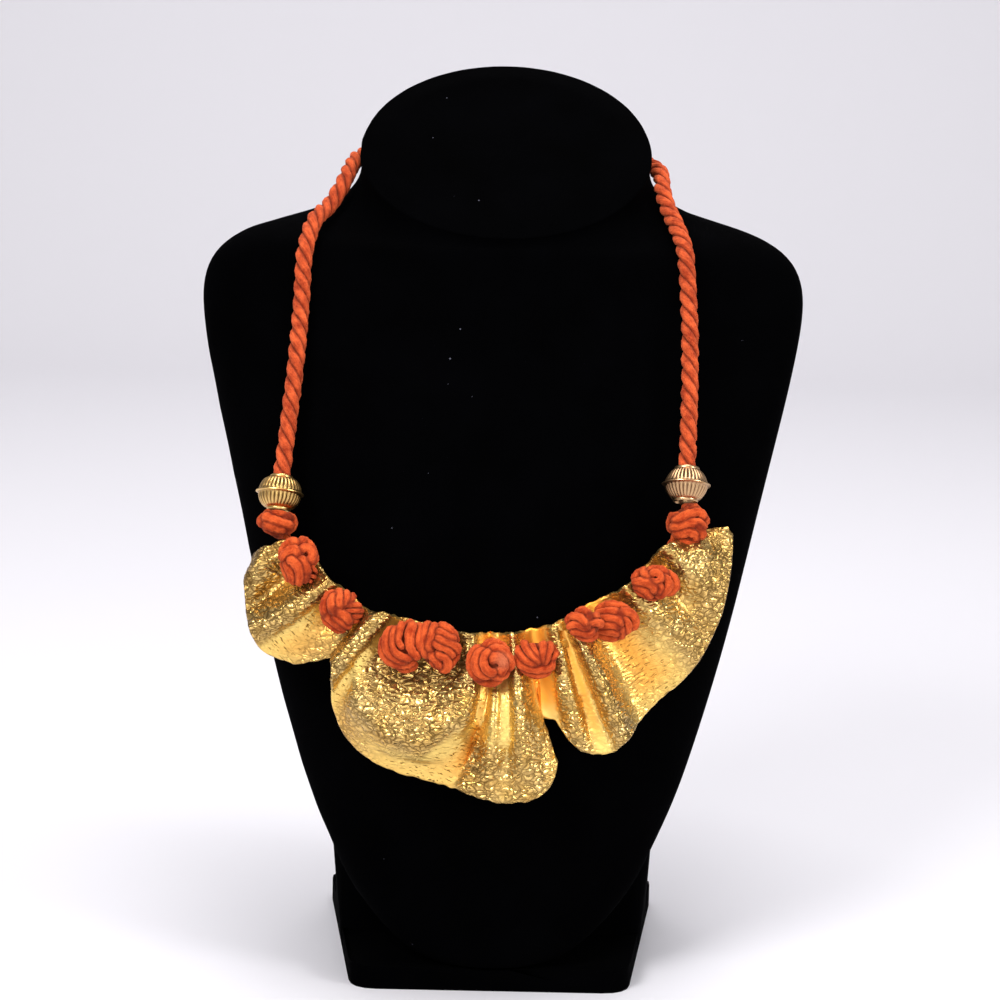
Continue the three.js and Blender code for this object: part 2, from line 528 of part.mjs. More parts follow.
// A fluted bead of two cones that meet in a seam, standing on +Y, with a bore for the rope.
function bead() {
  const radius = beadDiameter / 2;
  const collar = beadCollarDiameter / 2;
  const half = beadHeight / 2 - beadCollarHeight;
  const profile = [
    { out: collar, up: half + beadCollarHeight, flute: 0 },
    { out: collar, up: half, flute: 0 },
    { out: collar + (radius - collar) * 0.5, up: half * 0.8, flute: 1 },
    { out: collar + (radius - collar) * 0.84, up: half * 0.42, flute: 1 },
    { out: radius - beadSeamReach, up: half * 0.12, flute: 0.6 },
    { out: radius, up: half * 0.05, flute: 0 },
  ];
  const whole = [...profile, ...profile.toReversed().map((row) => ({ ...row, up: -row.up }))];
  const sides = beadFluteCount * 2;
  const rings = whole.toReversed().map(({ out, up, flute }) =>
    Array.from({ length: sides }, (_, i) => {
      const angle = (-i / sides) * Math.PI * 2;
      const reach = out - (i % 2) * flute * beadFluteDepth;
      return new THREE.Vector3(Math.cos(angle) * reach, up, Math.sin(angle) * reach);
    }),
  );
  const boreDiameter = ropeDiameter + 2 * boreClearance;
  const bore = new THREE.CylinderGeometry(boreDiameter / 2, boreDiameter / 2, beadHeight * 2, boreSides);
  return solidOf(loft(rings)).subtract(solidOf(bore));
}

// A plain barrel clasp along X, with a rim at each end and a bore for each rope.
function clasp() {
  const half = claspLength / 2;
  const radius = claspDiameter / 2;
  const rimRadius = radius + claspRimHeight;
  const outline = [
    [0, -half],
    [rimRadius, -half],
    [rimRadius, -half + claspRimLength],
    [radius, -half + claspRimLength],
    [radius, half - claspRimLength],
    [rimRadius, half - claspRimLength],
    [rimRadius, half],
    [0, half],
  ].map(([out, up]) => new THREE.Vector2(out, up));
  const barrel = new THREE.LatheGeometry(outline, claspSides);
  const boreRadius = ropeDiameter / 2 + boreClearance;
  const boreDepth = claspInsert + fitGap;
  const bores = [-1, 1].map((side) =>
    new THREE.CylinderGeometry(boreRadius, boreRadius, 2 * boreDepth, boreSides).translate(0, side * half, 0),
  );
  const solid = bores.reduce((rest, bore) => rest.subtract(solidOf(bore)), solidOf(barrel));
  return geometryOf(solid).rotateZ(Math.PI / 2);
}

const necklace = new THREE.Group();
const toBib = bibFrame.matrixWorld.clone().invert();

// The two beads stand on the ropes' first stretches.
const ropes = [
  { side: "left", points: leftRopePoints },
  { side: "right", points: rightRopePoints },
].map(({ side, points }) => {
  const curve = new THREE.CatmullRomCurve3(fittedRoute(points));
  const start = curve.getPoint(0);
  const up = curve.getTangent(0);
  const turn = new THREE.Quaternion().setFromUnitVectors(new THREE.Vector3(0, 1, 0), up);
  const centre = start.clone().addScaledVector(up, ropeInsert - beadHeight / 2);
  return { side, curve, up, turn, centre };
});

// Where each end knot hangs under its bead, as a place in the bib's frame.
const hungKnots = endKnots.map((knot, i) => {
  const { centre, up, turn } = ropes[i];
  const drop = beadHeight / 2 + fitGap - endKnotSink + knot.high / 2;
  const middle = centre.clone().addScaledVector(up, -drop);
  return { ...knot, centre, up, turnUp: turn, middle, local: middle.clone().applyMatrix4(toBib) };
});

// Where each front knot sits: over a hole in the bib, its stem going back to the lace.
const laceBehind = bibWall / 2 + fitGap + laceDiameter / 2 + knotSeat;
const seatedKnots = frontKnots.map((knot) => {
  const sheetY = bibDepthAt(knot.x, knot.z);
  return {
    ...knot,
    local: new THREE.Vector3(
      (knot.x - 0.5) * bibWidth,
      sheetY - bibWall / 2 - knotSeat - knot.thick * knotProud,
      -knot.z * bibDrop,
    ),
    sheetY,
    laceY: bibWrap * ((knot.x - 0.5) * 2) ** 2 + laceBehind,
  };
});

// The lace runs behind the bib from one end knot to the other, past the back of every stem.
const lacePoints = [
  hungKnots[0].local.clone().add(new THREE.Vector3(laceStartAside, laceBehind, -hungKnots[0].high / 2)),
  ...seatedKnots.map(({ local, laceY }) => new THREE.Vector3(local.x, laceY, local.z)),
  new THREE.Vector3(
    hungKnots[1].local.x - laceShoulderAside,
    bibWrap * laceShoulderWrap + laceBehind,
    -laceShoulderDrop,
  ),
  hungKnots[1].local.clone().add(new THREE.Vector3(-laceEndAside, laceEndDepth, laceEndRise)),
];
const laceCurve = new THREE.CatmullRomCurve3(lacePoints, false, "centripetal");
const laceTube = tube(laceCurve, laceDiameter, laceSides, laceSteps);
const laceEnd = new THREE.SphereGeometry(laceDiameter / 2 + laceEndRoom, knotSides, knotBands).translate(
  ...lacePoints.at(-1),
);
const laceRoom = solidOf(tube(laceCurve, laceDiameter + 2 * fitGap, laceSides, laceSteps)).add(solidOf(laceEnd));

// The bib's sheet, and the same sheet grown by the gap that everything near it keeps.
const holeDiameter = knotStemDiameter + 2 * fitGap;
const holes = (diameter) =>
  seatedKnots.map(({ local, sheetY }) =>
    solidOf(barAlongDepth(local.x, local.z, sheetY - foldDepth, sheetY + foldDepth / 2, diameter, holeSides)),
  );
const cutAll = (solid, cutters) => cutters.reduce((rest, cutter) => rest.subtract(cutter), solid);
const bib = cutAll(solidOf(bibSheet(bibWall)), holes(holeDiameter));
const bibRoom = cutAll(solidOf(bibSheet(bibWall + 2 * knotClearance, rimReach)), holes(knotStemDiameter));

seatedKnots.forEach((knot) => {
  const { local, laceY } = knot;
  const lump = solidOf(knotLump(knot).translate(local.x, local.y, local.z));
  const stem = solidOf(barAlongDepth(local.x, local.z, local.y, laceY, knotStemDiameter, stemSides));
  const whole = cutAll(lump.add(stem), [bibRoom, laceRoom]);
  bibFrame.add(named(knot.name, largestBody(whole.simplify(meltTolerance)), materials.cord));
});

const raisedRoom = bibRoom.translate([0, 0, endKnotClearance]);
hungKnots.forEach((knot) => {
  const { local, centre, up, turnUp, middle } = knot;
  const lump = solidOf(knotLump(knot).translate(local.x, local.y, local.z));
  const stemTop = centre.clone().addScaledVector(up, -endStemReach);
  const stemLength = stemTop.distanceTo(middle);
  const stem = new THREE.CylinderGeometry(knotStemDiameter / 2, knotStemDiameter / 2, stemLength, stemSides)
    .applyQuaternion(turnUp)
    .translate(...stemTop.clone().add(middle).divideScalar(2).toArray())
    .applyMatrix4(toBib);
  const whole = cutAll(lump.add(solidOf(stem)), [bibRoom, raisedRoom, laceRoom]);
  bibFrame.add(named(knot.name, largestBody(whole.simplify(meltTolerance)), materials.cord));
});

bibFrame.add(named("bib", bib, materials.gold));
bibFrame.add(named("lace_cord", laceTube, materials.cord));
necklace.add(bibFrame);

const beadSolid = bead();
ropes.forEach(({ side, curve, centre, turn }) => {
  const beadMesh = named(`bead_${side}`, beadSolid, materials.paleGold);
  beadMesh.position.copy(centre);
  beadMesh.quaternion.copy(turn);
  necklace.add(beadMesh);
  necklace.add(named(`neck_rope_${side}`, tube(curve, ropeDiameter, ropeSides, ropeSteps), materials.cord));
});

const nape = ropes[0].curve.getPoint(1).add(ropes[1].curve.getPoint(1)).divideScalar(2);
const claspMesh = named("barrel_clasp", clasp(), materials.paleGold);
claspMesh.position.copy(nape);
necklace.add(claspMesh);

const bust = new THREE.Group();
bust.add(named("bust_body", bustBody(), materials.velvet));
bust.add(named("bust_base", bustBase(), materials.velvet));

const part = new THREE.Group();
part.add(bust, necklace);
export default part;
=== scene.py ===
"""A bib necklace on its velvet neck bust, dressed for the render.

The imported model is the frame: every piece here sits where the CAD node that it stands for sits. The bib is
cast metal with ruffled folds and a crackled skin, the cord is cotton, twisted in three plies for the neck
ropes and wound into knots on the bib, and the beads are fluted antique gold.

Lengths are in metres, unless a name ends in mm. +Z is up and the front faces -Y.
"""

import logging
import math
from collections.abc import Callable
from dataclasses import dataclass, field
from enum import Enum
from typing import NamedTuple

import bmesh
import bpy
import numpy as np
from mathutils import Matrix, Vector, noise


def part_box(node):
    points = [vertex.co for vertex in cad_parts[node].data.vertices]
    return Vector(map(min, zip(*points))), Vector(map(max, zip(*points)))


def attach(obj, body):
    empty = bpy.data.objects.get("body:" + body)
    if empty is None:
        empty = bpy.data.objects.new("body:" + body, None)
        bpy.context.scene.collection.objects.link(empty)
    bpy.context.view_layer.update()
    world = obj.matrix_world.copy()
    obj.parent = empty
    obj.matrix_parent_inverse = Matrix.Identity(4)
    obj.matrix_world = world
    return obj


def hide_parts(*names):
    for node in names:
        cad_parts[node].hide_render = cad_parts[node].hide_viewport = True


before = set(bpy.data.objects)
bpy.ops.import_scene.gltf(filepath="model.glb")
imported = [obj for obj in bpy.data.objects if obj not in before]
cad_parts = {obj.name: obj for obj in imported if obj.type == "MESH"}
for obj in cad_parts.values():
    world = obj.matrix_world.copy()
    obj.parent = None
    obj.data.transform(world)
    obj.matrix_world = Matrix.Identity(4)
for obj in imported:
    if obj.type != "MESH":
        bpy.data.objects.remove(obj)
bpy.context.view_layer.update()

MM = 0.001
TURN = 2 * math.pi
BODY = "root"
log = logging.getLogger("bib_necklace")

# A Mix node's sockets for two colours and their mix. By name they can't be told from its other sockets.
MIX_UNDER, MIX_OVER, MIXED = 6, 7, 2
# Points of a CAD node nearer than this are one, as are those of a new piece at half of it.
MERGE = 0.01 * MM
# Two triangles of a CAD node become one quad within these angles of its faces and of its corners.
QUAD_FACE, QUAD_CORNER = math.radians(30), math.radians(50)


# Shared helpers


def linear(hex_colour: str) -> tuple[float, float, float, float]:
    """Turn an sRGB hex colour into a linear RGBA one, by the two parts of the sRGB curve.

    Args:
        hex_colour: six hex digits, such as "b8452a".

    Returns:
        The colour as Blender's sockets take it.
    """
    channels = [int(hex_colour[i : i + 2], 16) / 255 for i in (0, 2, 4)]
    bright = [c / 12.92 if c <= 0.04045 else ((c + 0.055) / 1.055) ** 2.4 for c in channels]
    return (*bright, 1.0)


def add_node(tree: bpy.types.NodeTree, kind: str, inputs: dict | None = None, **settings: object) -> bpy.types.Node:
    """Add a node with its settings, and set or link its inputs.

    Args:
        tree: the node tree.
        kind: the node's type name.
        inputs: each input's name or number, with its own value or the output socket that feeds it.
        settings: the node's properties.

    Returns:
        The new node.
    """
    node = tree.nodes.new(kind)
    for name, value in settings.items():
        setattr(node, name, value)
    for name, value in (inputs or {}).items():
        if isinstance(value, bpy.types.NodeSocket):
            tree.links.new(value, node.inputs[name])
        else:
            node.inputs[name].default_value = value
    return node


def bare_finish(name: str) -> tuple[bpy.types.Material, bpy.types.NodeTree]:
    """Start a finish that has no nodes yet.

    Args:
        name: the material's name.

    Returns:
        The material and its node tree.
    """
    finish = bpy.data.materials.new(name)
    finish.use_nodes = True
    finish.node_tree.nodes.clear()
    return finish, finish.node_tree


def only(piece: bpy.types.Object) -> None:
    """Select one object and nothing else, and make it active.

    Args:
        piece: the object.
    """
    bpy.ops.object.select_all(action="DESELECT")
    piece.select_set(True)
    bpy.context.view_layer.objects.active = piece


def primitive(add: Callable, name: str, **settings: object) -> bpy.types.Object:
    """Add a primitive with nothing else selected.

    Args:
        add: the operator that adds it.
        name: the new object's name.
        settings: the operator's settings.

    Returns:
        The new object.
    """
    bpy.ops.object.select_all(action="DESELECT")
    add(**settings)
    piece = bpy.context.object
    piece.name = piece.data.name = name
    return piece


def select_faces(piece: bpy.types.Object, chosen: Callable[[bmesh.types.BMFace], bool]) -> None:
    """In edit mode, select some faces and nothing else.

    Args:
        piece: the object in edit mode.
        chosen: says of a face whether it is one of them.
    """
    bpy.ops.mesh.select_all(action="DESELECT")
    mesh = bmesh.from_edit_mesh(piece.data)
    for face in mesh.faces:
        face.select_set(bool(chosen(face)))
    mesh.select_flush_mode()
    bmesh.update_edit_mesh(piece.data)


def settle(piece: bpy.types.Object, place: Matrix | None = None) -> None:
    """Put a piece's place into its mesh, so that its object sits at the origin, unturned and unscaled.

    Args:
        piece: the piece.
        place: a further place that it goes to first.
    """
    if place is not None:
        piece.matrix_world = place @ piece.matrix_world
    only(piece)
    bpy.ops.object.transform_apply(location=True, rotation=True, scale=True)


def apply_modifier(piece: bpy.types.Object, kind: str, **settings: object) -> None:
    """Add a modifier and apply it.

    Args:
        piece: the piece.
        kind: the modifier's type name.
        settings: the modifier's settings.
    """
    modifier = piece.modifiers.new(kind.lower(), kind)
    for name, value in settings.items():
        setattr(modifier, name, value)
    only(piece)
    bpy.ops.object.modifier_apply(modifier=modifier.name)


def smooth_below(piece: bpy.types.Object, degrees: float) -> None:
    """Shade a piece smooth, but for the edges that turn by more than an angle.

    Args:
        piece: the piece.
        degrees: the angle.
    """
    only(piece)
    bpy.ops.object.shade_smooth_by_angle(angle=math.radians(degrees))


def point_values(piece: bpy.types.Object, name: str, values: np.ndarray | list[float]) -> None:
    """Give each of a piece's vertices a value that its finish can read.

    Args:
        piece: the piece.
        name: the attribute's name.
        values: one value for each vertex.
    """
    layer = piece.data.attributes.get(name) or piece.data.attributes.new(name, "FLOAT", "POINT")
    layer.data.foreach_set("value", np.asarray(values, dtype=np.float32).ravel())


def point_uvs(piece: bpy.types.Object, name: str, uvs: np.ndarray) -> None:
    """Give a piece a UV map from one pair for each vertex.

    Args:
        piece: the piece.
        name: the map's name.
        uvs: the pairs.
    """
    corners = np.empty(len(piece.data.loops), dtype=np.int32)
    piece.data.loops.foreach_get("vertex_index", corners)
    layer = piece.data.uv_layers.new(name=name)
    layer.data.foreach_set("uv", np.asarray(uvs, dtype=np.float32)[corners].ravel())


def mesh_piece(name: str, points: np.ndarray, faces: list[tuple[int, ...]]) -> bpy.types.Object:
    """Make a smooth object from points and faces.

    Args:
        name: the object's name.
        points: its vertices.
        faces: the vertex numbers of each face.

    Returns:
        The new object.
    """
    mesh = bpy.data.meshes.new(name)
    mesh.from_pydata([tuple(point) for point in points], [], faces)
    mesh.update()
    mesh.polygons.foreach_set("use_smooth", [True] * len(mesh.polygons))
    piece = bpy.data.objects.new(name, mesh)
    bpy.context.scene.collection.objects.link(piece)
    return piece


def joined(name: str, pieces: list[bpy.types.Object]) -> bpy.types.Object:
    """Join pieces into the first one.

    Args:
        name: the joined piece's name.
        pieces: two pieces or more.

    Returns:
        The joined piece.
    """
    only(pieces[0])
    for piece in pieces[1:]:
        piece.select_set(True)
    bpy.ops.object.join()
    pieces[0].name = pieces[0].data.name = name
    return pieces[0]


def dress(piece: bpy.types.Object, finish: bpy.types.Material, node: str) -> bpy.types.Object:
    """Give a piece its finish and its body, and hide the CAD node that it stands for.

    Args:
        piece: the piece.
        finish: its material.
        node: the CAD node.

    Returns:
        The piece.
    """
    piece.data.materials.clear()
    piece.data.materials.append(finish)
    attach(piece, BODY)
    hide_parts(node)
    log.info("%s: %d faces", piece.name, len(piece.data.polygons))
    return piece


def copy_of(node: str, name: str) -> bpy.types.Object:
    """Copy a CAD node as a new piece, merged and with quads where they fit.

    Args:
        node: the CAD node.
        name: the piece's name.

    Returns:
        The new piece.
    """
    piece = bpy.data.objects.new(name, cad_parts[node].data.copy())
    piece.data.name = name
    bpy.context.scene.collection.objects.link(piece)
    only(piece)
    bpy.ops.object.mode_set(mode="EDIT")
    bpy.ops.mesh.select_all(action="SELECT")
    bpy.ops.mesh.remove_doubles(threshold=MERGE)
    bpy.ops.mesh.tris_convert_to_quads(face_threshold=QUAD_FACE, shape_threshold=QUAD_CORNER)
    bpy.ops.object.mode_set(mode="OBJECT")
    return piece


def middle_of(node: str) -> Vector:
    """The middle of a CAD node's box."""
    low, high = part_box(node)
    return (Vector(low) + Vector(high)) / 2


# Paths and strands


# Painted shade: a strand faces into its piece where its crease shade value nears 1, and there it takes the darker
# colour of the creases. The value falls as the strand turns outwards.
CREASE_SHADE_INSIDE, CREASE_SHADE_FALL = 1.05, 1.15
# The size of the swells that make a strand's surface woolly.
WOOL_SIZE = 1.1 * MM
# Below this the cross product of two directions is too short to be a good start for a frame.
TOO_PARALLEL = 0.2
# No length is divided by less than this.
SHORTEST = 1e-6


class Lay(Enum):
    """Which way a rope's plies climb as they go round it."""

    S = -1
    Z = 1


def unit(vectors: np.ndarray) -> np.ndarray:
    """The same directions with a length of 1."""
    return vectors / np.linalg.norm(vectors, axis=-1)[..., None]


def run_of(line: np.ndarray) -> np.ndarray:
    """How far each point lies along a line."""
    return np.concatenate([[0], np.cumsum(np.linalg.norm(np.diff(line, axis=0), axis=1))])


def at_runs(line: np.ndarray, runs: np.ndarray) -> np.ndarray:
    """The points that lie given runs along a line."""
    return np.stack([np.interp(runs, run_of(line), line[:, axis]) for axis in range(3)], axis=1)


def catmull_rom(points: np.ndarray, steps: int) -> np.ndarray:
    """Draw a smooth line through points.

    Args:
        points: the points, in two or three dimensions.
        steps: how many steps lie between each two of them.

    Returns:
        The line's points.
    """
    padded = np.vstack([2 * points[0] - points[1], points, 2 * points[-1] - points[-2]])
    line = []
    for i in range(len(points) - 1):
        a, b, c, d = padded[i : i + 4]
        for t in np.linspace(0, 1, steps, endpoint=False):
            line.append(0.5 * (2 * b + (c - a) * t + (2 * a - 5 * b + 4 * c - d) * t**2
                               + (3 * b - a - 3 * c + d) * t**3))
    line.append(points[-1])
    return np.array(line)


def evenly(line: np.ndarray, spacing: float) -> np.ndarray:
    """Space a line's points evenly.

    Args:
        line: the line.
        spacing: about how far apart the points shall be.

    Returns:
        The same line with new points.
    """
    length = run_of(line)[-1]
    count = max(2, int(round(length / spacing)))
    return at_runs(line, np.linspace(0, length, count + 1))


def carried_frames(line: np.ndarray) -> tuple[np.ndarray, np.ndarray]:
    """Find two directions across a line at each of its points, carried along it without twist.

    Args:
        line: the line.

    Returns:
        The first and the second direction at each point.
    """
    ahead = unit(np.gradient(line, axis=0))
    start = np.cross(ahead[0], [0.0, 1.0, 0.0])
    if np.linalg.norm(start) < TOO_PARALLEL:
        start = np.cross(ahead[0], [1.0, 0.0, 0.0])
    across = [unit(start)]
    for direction in ahead[1:]:
        across.append(unit(across[-1] - direction * (across[-1] @ direction)))
    return np.array(across), np.cross(ahead, across)


def strand(name: str, line: np.ndarray, radius: np.ndarray | float, sides: int, outward: np.ndarray,
           flatness: float, woolly: float = 0.22) -> bpy.types.Object:
    """Make a soft strand along a line.

    Its UV map runs round it by u and along it by v, in metres. Its attribute of painted shade is 1 where the strand
    faces into the piece and 0 where it faces out of it.

    Args:
        name: the object's name.
        line: the strand's middle line.
        radius: its radius, one value or one for each point.
        sides: the sides of its section.
        outward: the way out of the piece at each point.
        flatness: the strand's thickness along that way, as a share of its width.
        woolly: how far its surface swells and sinks at random, as a share of its radius.

    Returns:
        The strand as a mesh object.
    """
    count = len(line)
    radii = np.broadcast_to(np.asarray(radius, dtype=float), (count,))
    ahead = unit(np.gradient(line, axis=0))
    beside = unit(outward - ahead * np.sum(outward * ahead, axis=1)[:, None])
    across = np.cross(beside, ahead)
    angles = np.linspace(0, TURN, sides, endpoint=False)
    ring = (np.cos(angles)[None, :, None] * across[:, None, :]
            + np.sin(angles)[None, :, None] * beside[:, None, :] * flatness) * radii[:, None, None]
    points = (line[:, None, :] + ring).reshape(-1, 3)
    swells = np.array([noise.noise(Vector(point)) for point in points / WOOL_SIZE])
    points += ring.reshape(-1, 3) * (swells * woolly)[:, None]
    faces = []
    for low in range(0, (count - 1) * sides, sides):
        for j in range(sides):
            k = (j + 1) % sides
            faces.append((low + j, low + k, low + sides + k, low + sides + j))
    faces.append(tuple(range(sides))[::-1])
    faces.append(tuple(range((count - 1) * sides, count * sides)))
    piece = mesh_piece(name, points, faces)
    around = np.tile(angles * float(np.mean(radii)), count)
    point_uvs(piece, "strand", np.stack([around, np.repeat(run_of(line), sides)], axis=1))
    # Painted shade: the side that faces into the piece is marked for the darker colour of the creases.
    facing = np.tile(np.sin(angles), count)
    point_values(piece, "crease_shade", np.clip(CREASE_SHADE_INSIDE - CREASE_SHADE_FALL * facing, 0, 1))
    return piece


# Finishes


# Brass cast with a pebbled face, polished and gold plated: a hard glint on each pebble, painted shade in the furrows
# between them, a painted glow of warmer gold for the reflection where the walls of a fold mirror each other, and
# smooth faces painted paler for their bright reflection. The pebbles are about 2 mm across, and the dashes that
# streak the smooth faces are 2 to 3 mm long.
@dataclass(frozen=True)
class CastGold:
    """Gold plate on pebbled casting: bright swells, a fine ripple, painted shade in furrows, painted glow in hollows.
    """

    name: str = "polished_gold_plate_on_pebbled_casting"
    crest: str = "ffe098"
    body: str = "f8bc50"
    # Painted reflection: a glow of warmer gold in the hollows of the folds, where their walls mirror each other.
    painted_hollow_glow: str = "ffa83a"
    # Painted reflection: the smooth faces are painted paler, standing in for their bright reflection.
    smooth: str = "ffda7c"
    # Painted shade: the dark brown laid in the furrows between the pebbles.
    furrow_shade: str = "553a10"
    dash_tone: str = "7c5a22"
    metallic: float = 0.9
    roughness: float = 0.14
    furrow_roughness: float = 0.36
    hollow_roughness: float = 0.3
    plain_roughness: float = 0.14
    # The pebbles and the furrows between them.
    tone_mm: float = 7.0
    pebble_mm: float = 2.1
    pebble_stretch: tuple[float, float, float] = (0.68, 0.5, 1.25)
    pebble_depth_mm: float = 0.42
    pebble_bump: float = 0.8
    dome_width: float = 0.45
    bend: float = 1.4
    bend_scale: float = 0.6
    furrow_width: float = 0.26
    furrow_share: float = 0.95
    sunk_below: float = 0.85
    ripple_mm: float = 1.1
    ripple_share: float = 0.2
    # The smooth faces and their dashes.
    crackled_grain: float = 0.85
    plain_grain: float = 0.3
    dash_long_mm: float = 2.6
    dash_wide_mm: float = 0.7
    dash_edge: tuple[float, float] = (0.6, 0.68)

    def pebble_edges(self, tree: bpy.types.NodeTree, place: bpy.types.NodeSocket) -> bpy.types.NodeSocket:
        """Cover the metal with bent, stretched cells.

        Args:
            tree: the node tree.
            place: the socket of the place on the object.

        Returns:
            The socket of the distance to the cell's edge, as a share of its size.
        """
        cells = add_node(tree, "ShaderNodeMapping", {"Vector": place, "Scale": self.pebble_stretch}).outputs[0]
        stray = add_node(tree, "ShaderNodeTexNoise", {
            "Vector": place, "Scale": self.bend_scale / (self.pebble_mm * MM), "Detail": 1.0}).outputs["Color"]
        bent = add_node(tree, "ShaderNodeVectorMath", {0: stray, 1: (self.bend * self.pebble_mm * MM,) * 3, 2: cells},
                        operation="MULTIPLY_ADD").outputs[0]
        return add_node(tree, "ShaderNodeTexVoronoi", {"Vector": bent, "Scale": 1 / (self.pebble_mm * MM)},
                        feature="DISTANCE_TO_EDGE").outputs["Distance"]

    def dashes(self, tree: bpy.types.NodeTree, dashed: bpy.types.NodeSocket) -> bpy.types.NodeSocket:
        """Streak the smooth faces with short dashes that follow the mesh's own skin map.

        Args:
            tree: the node tree.
            dashed: the socket of how streaked the place is.

        Returns:
            The socket of the dashes' depth.
        """
        skin = add_node(tree, "ShaderNodeUVMap", uv_map="skin").outputs["UV"]
        drawn = add_node(tree, "ShaderNodeMapping", {
            "Vector": skin, "Scale": (1 / (self.dash_long_mm * MM), 1 / (self.dash_wide_mm * MM), 1.0)}).outputs[0]
        streak = add_node(tree, "ShaderNodeTexNoise", {"Vector": drawn, "Scale": 1.0, "Detail": 1.0}).outputs["Fac"]
        mark = add_node(tree, "ShaderNodeMapRange", {
            "Value": streak, "From Min": self.dash_edge[0], "From Max": self.dash_edge[1]}).outputs["Result"]
        return add_node(tree, "ShaderNodeMath", {0: mark, 1: dashed}, operation="MULTIPLY").outputs[0]

    def material(self) -> bpy.types.Material:
        """Build the finish on the mesh's own skin map and its values of grain, relief, hollow and dashed.

        Returns:
            The material.
        """
        finish, tree = bare_finish(self.name)
        place = add_node(tree, "ShaderNodeTexCoord").outputs["Object"]
        grain, relief, hollow, dashed = (
            add_node(tree, "ShaderNodeAttribute", attribute_name=label).outputs["Fac"]
            for label in ("grain", "relief", "hollow", "dashed"))
        ripple, tone = (
            add_node(tree, "ShaderNodeTexNoise",
                     {"Vector": place, "Scale": 1 / (size * MM), "Detail": detail}).outputs["Fac"]
            for size, detail in ((self.ripple_mm, 2.0), (self.tone_mm, 3.0)))
        edge = self.pebble_edges(tree, place)
        dome = add_node(tree, "ShaderNodeMapRange", {"Value": edge, "From Min": 0.0, "From Max": self.dome_width},
                        interpolation_type="SMOOTHSTEP").outputs["Result"]
        net = add_node(tree, "ShaderNodeMapRange", {
            "Value": edge, "From Min": 0.0, "From Max": self.furrow_width,
            "To Min": self.furrow_share, "To Max": 0.0}).outputs["Result"]
        low = add_node(tree, "ShaderNodeMath", {0: self.sunk_below, 1: relief}, operation="SUBTRACT").outputs[0]
        sunk = add_node(tree, "ShaderNodeMath", {0: low, 1: net}, operation="MAXIMUM").outputs[0]
        shaded_furrows = add_node(tree, "ShaderNodeMath", {0: sunk, 1: grain}, operation="MULTIPLY",
                            use_clamp=True).outputs[0]
        dash = self.dashes(tree, dashed)
        plain = add_node(tree, "ShaderNodeMapRange", {
            "Value": grain, "From Min": self.crackled_grain, "From Max": self.plain_grain}).outputs["Result"]

        # The tone and dash mixes are the metal's own colour. The mix on smooth faces and the mix in hollows are
        # painted reflection, and the mix in the furrows is painted shade.
        colour = linear(self.body)
        for share, over in ((tone, self.crest), (plain, self.smooth), (hollow, self.painted_hollow_glow),
                            (shaded_furrows, self.furrow_shade), (dash, self.dash_tone)):
            colour = add_node(tree, "ShaderNodeMix", {"Factor": share, MIX_UNDER: colour, MIX_OVER: linear(over)},
                              data_type="RGBA").outputs[MIXED]

        rough = add_node(tree, "ShaderNodeMapRange", {
            "Value": hollow, "To Min": self.roughness, "To Max": self.hollow_roughness}).outputs["Result"]
        for share, more in ((plain, self.plain_roughness), (shaded_furrows, self.furrow_roughness - self.roughness)):
            rough = add_node(tree, "ShaderNodeMath", {0: share, 1: more, 2: rough},
                             operation="MULTIPLY_ADD").outputs[0]

        domed = add_node(tree, "ShaderNodeMath", {0: dome, 1: grain}, operation="MULTIPLY").outputs[0]
        dented = add_node(tree, "ShaderNodeMath", {0: domed, 1: dash}, operation="SUBTRACT").outputs[0]
        rippled = add_node(tree, "ShaderNodeMath", {0: ripple, 1: grain}, operation="MULTIPLY").outputs[0]
        height = add_node(tree, "ShaderNodeMath", {0: rippled, 1: self.ripple_share, 2: dented},
                          operation="MULTIPLY_ADD").outputs[0]
        bump = add_node(tree, "ShaderNodeBump", {
            "Height": height, "Strength": self.pebble_bump,
            "Distance": self.pebble_depth_mm * MM}).outputs["Normal"]
        shader = add_node(tree, "ShaderNodeBsdfPrincipled", {
            "Base Color": colour, "Roughness": rough, "Normal": bump, "Metallic": self.metallic})
        add_node(tree, "ShaderNodeOutputMaterial", {"Surface": shader.outputs[0]})
        return finish


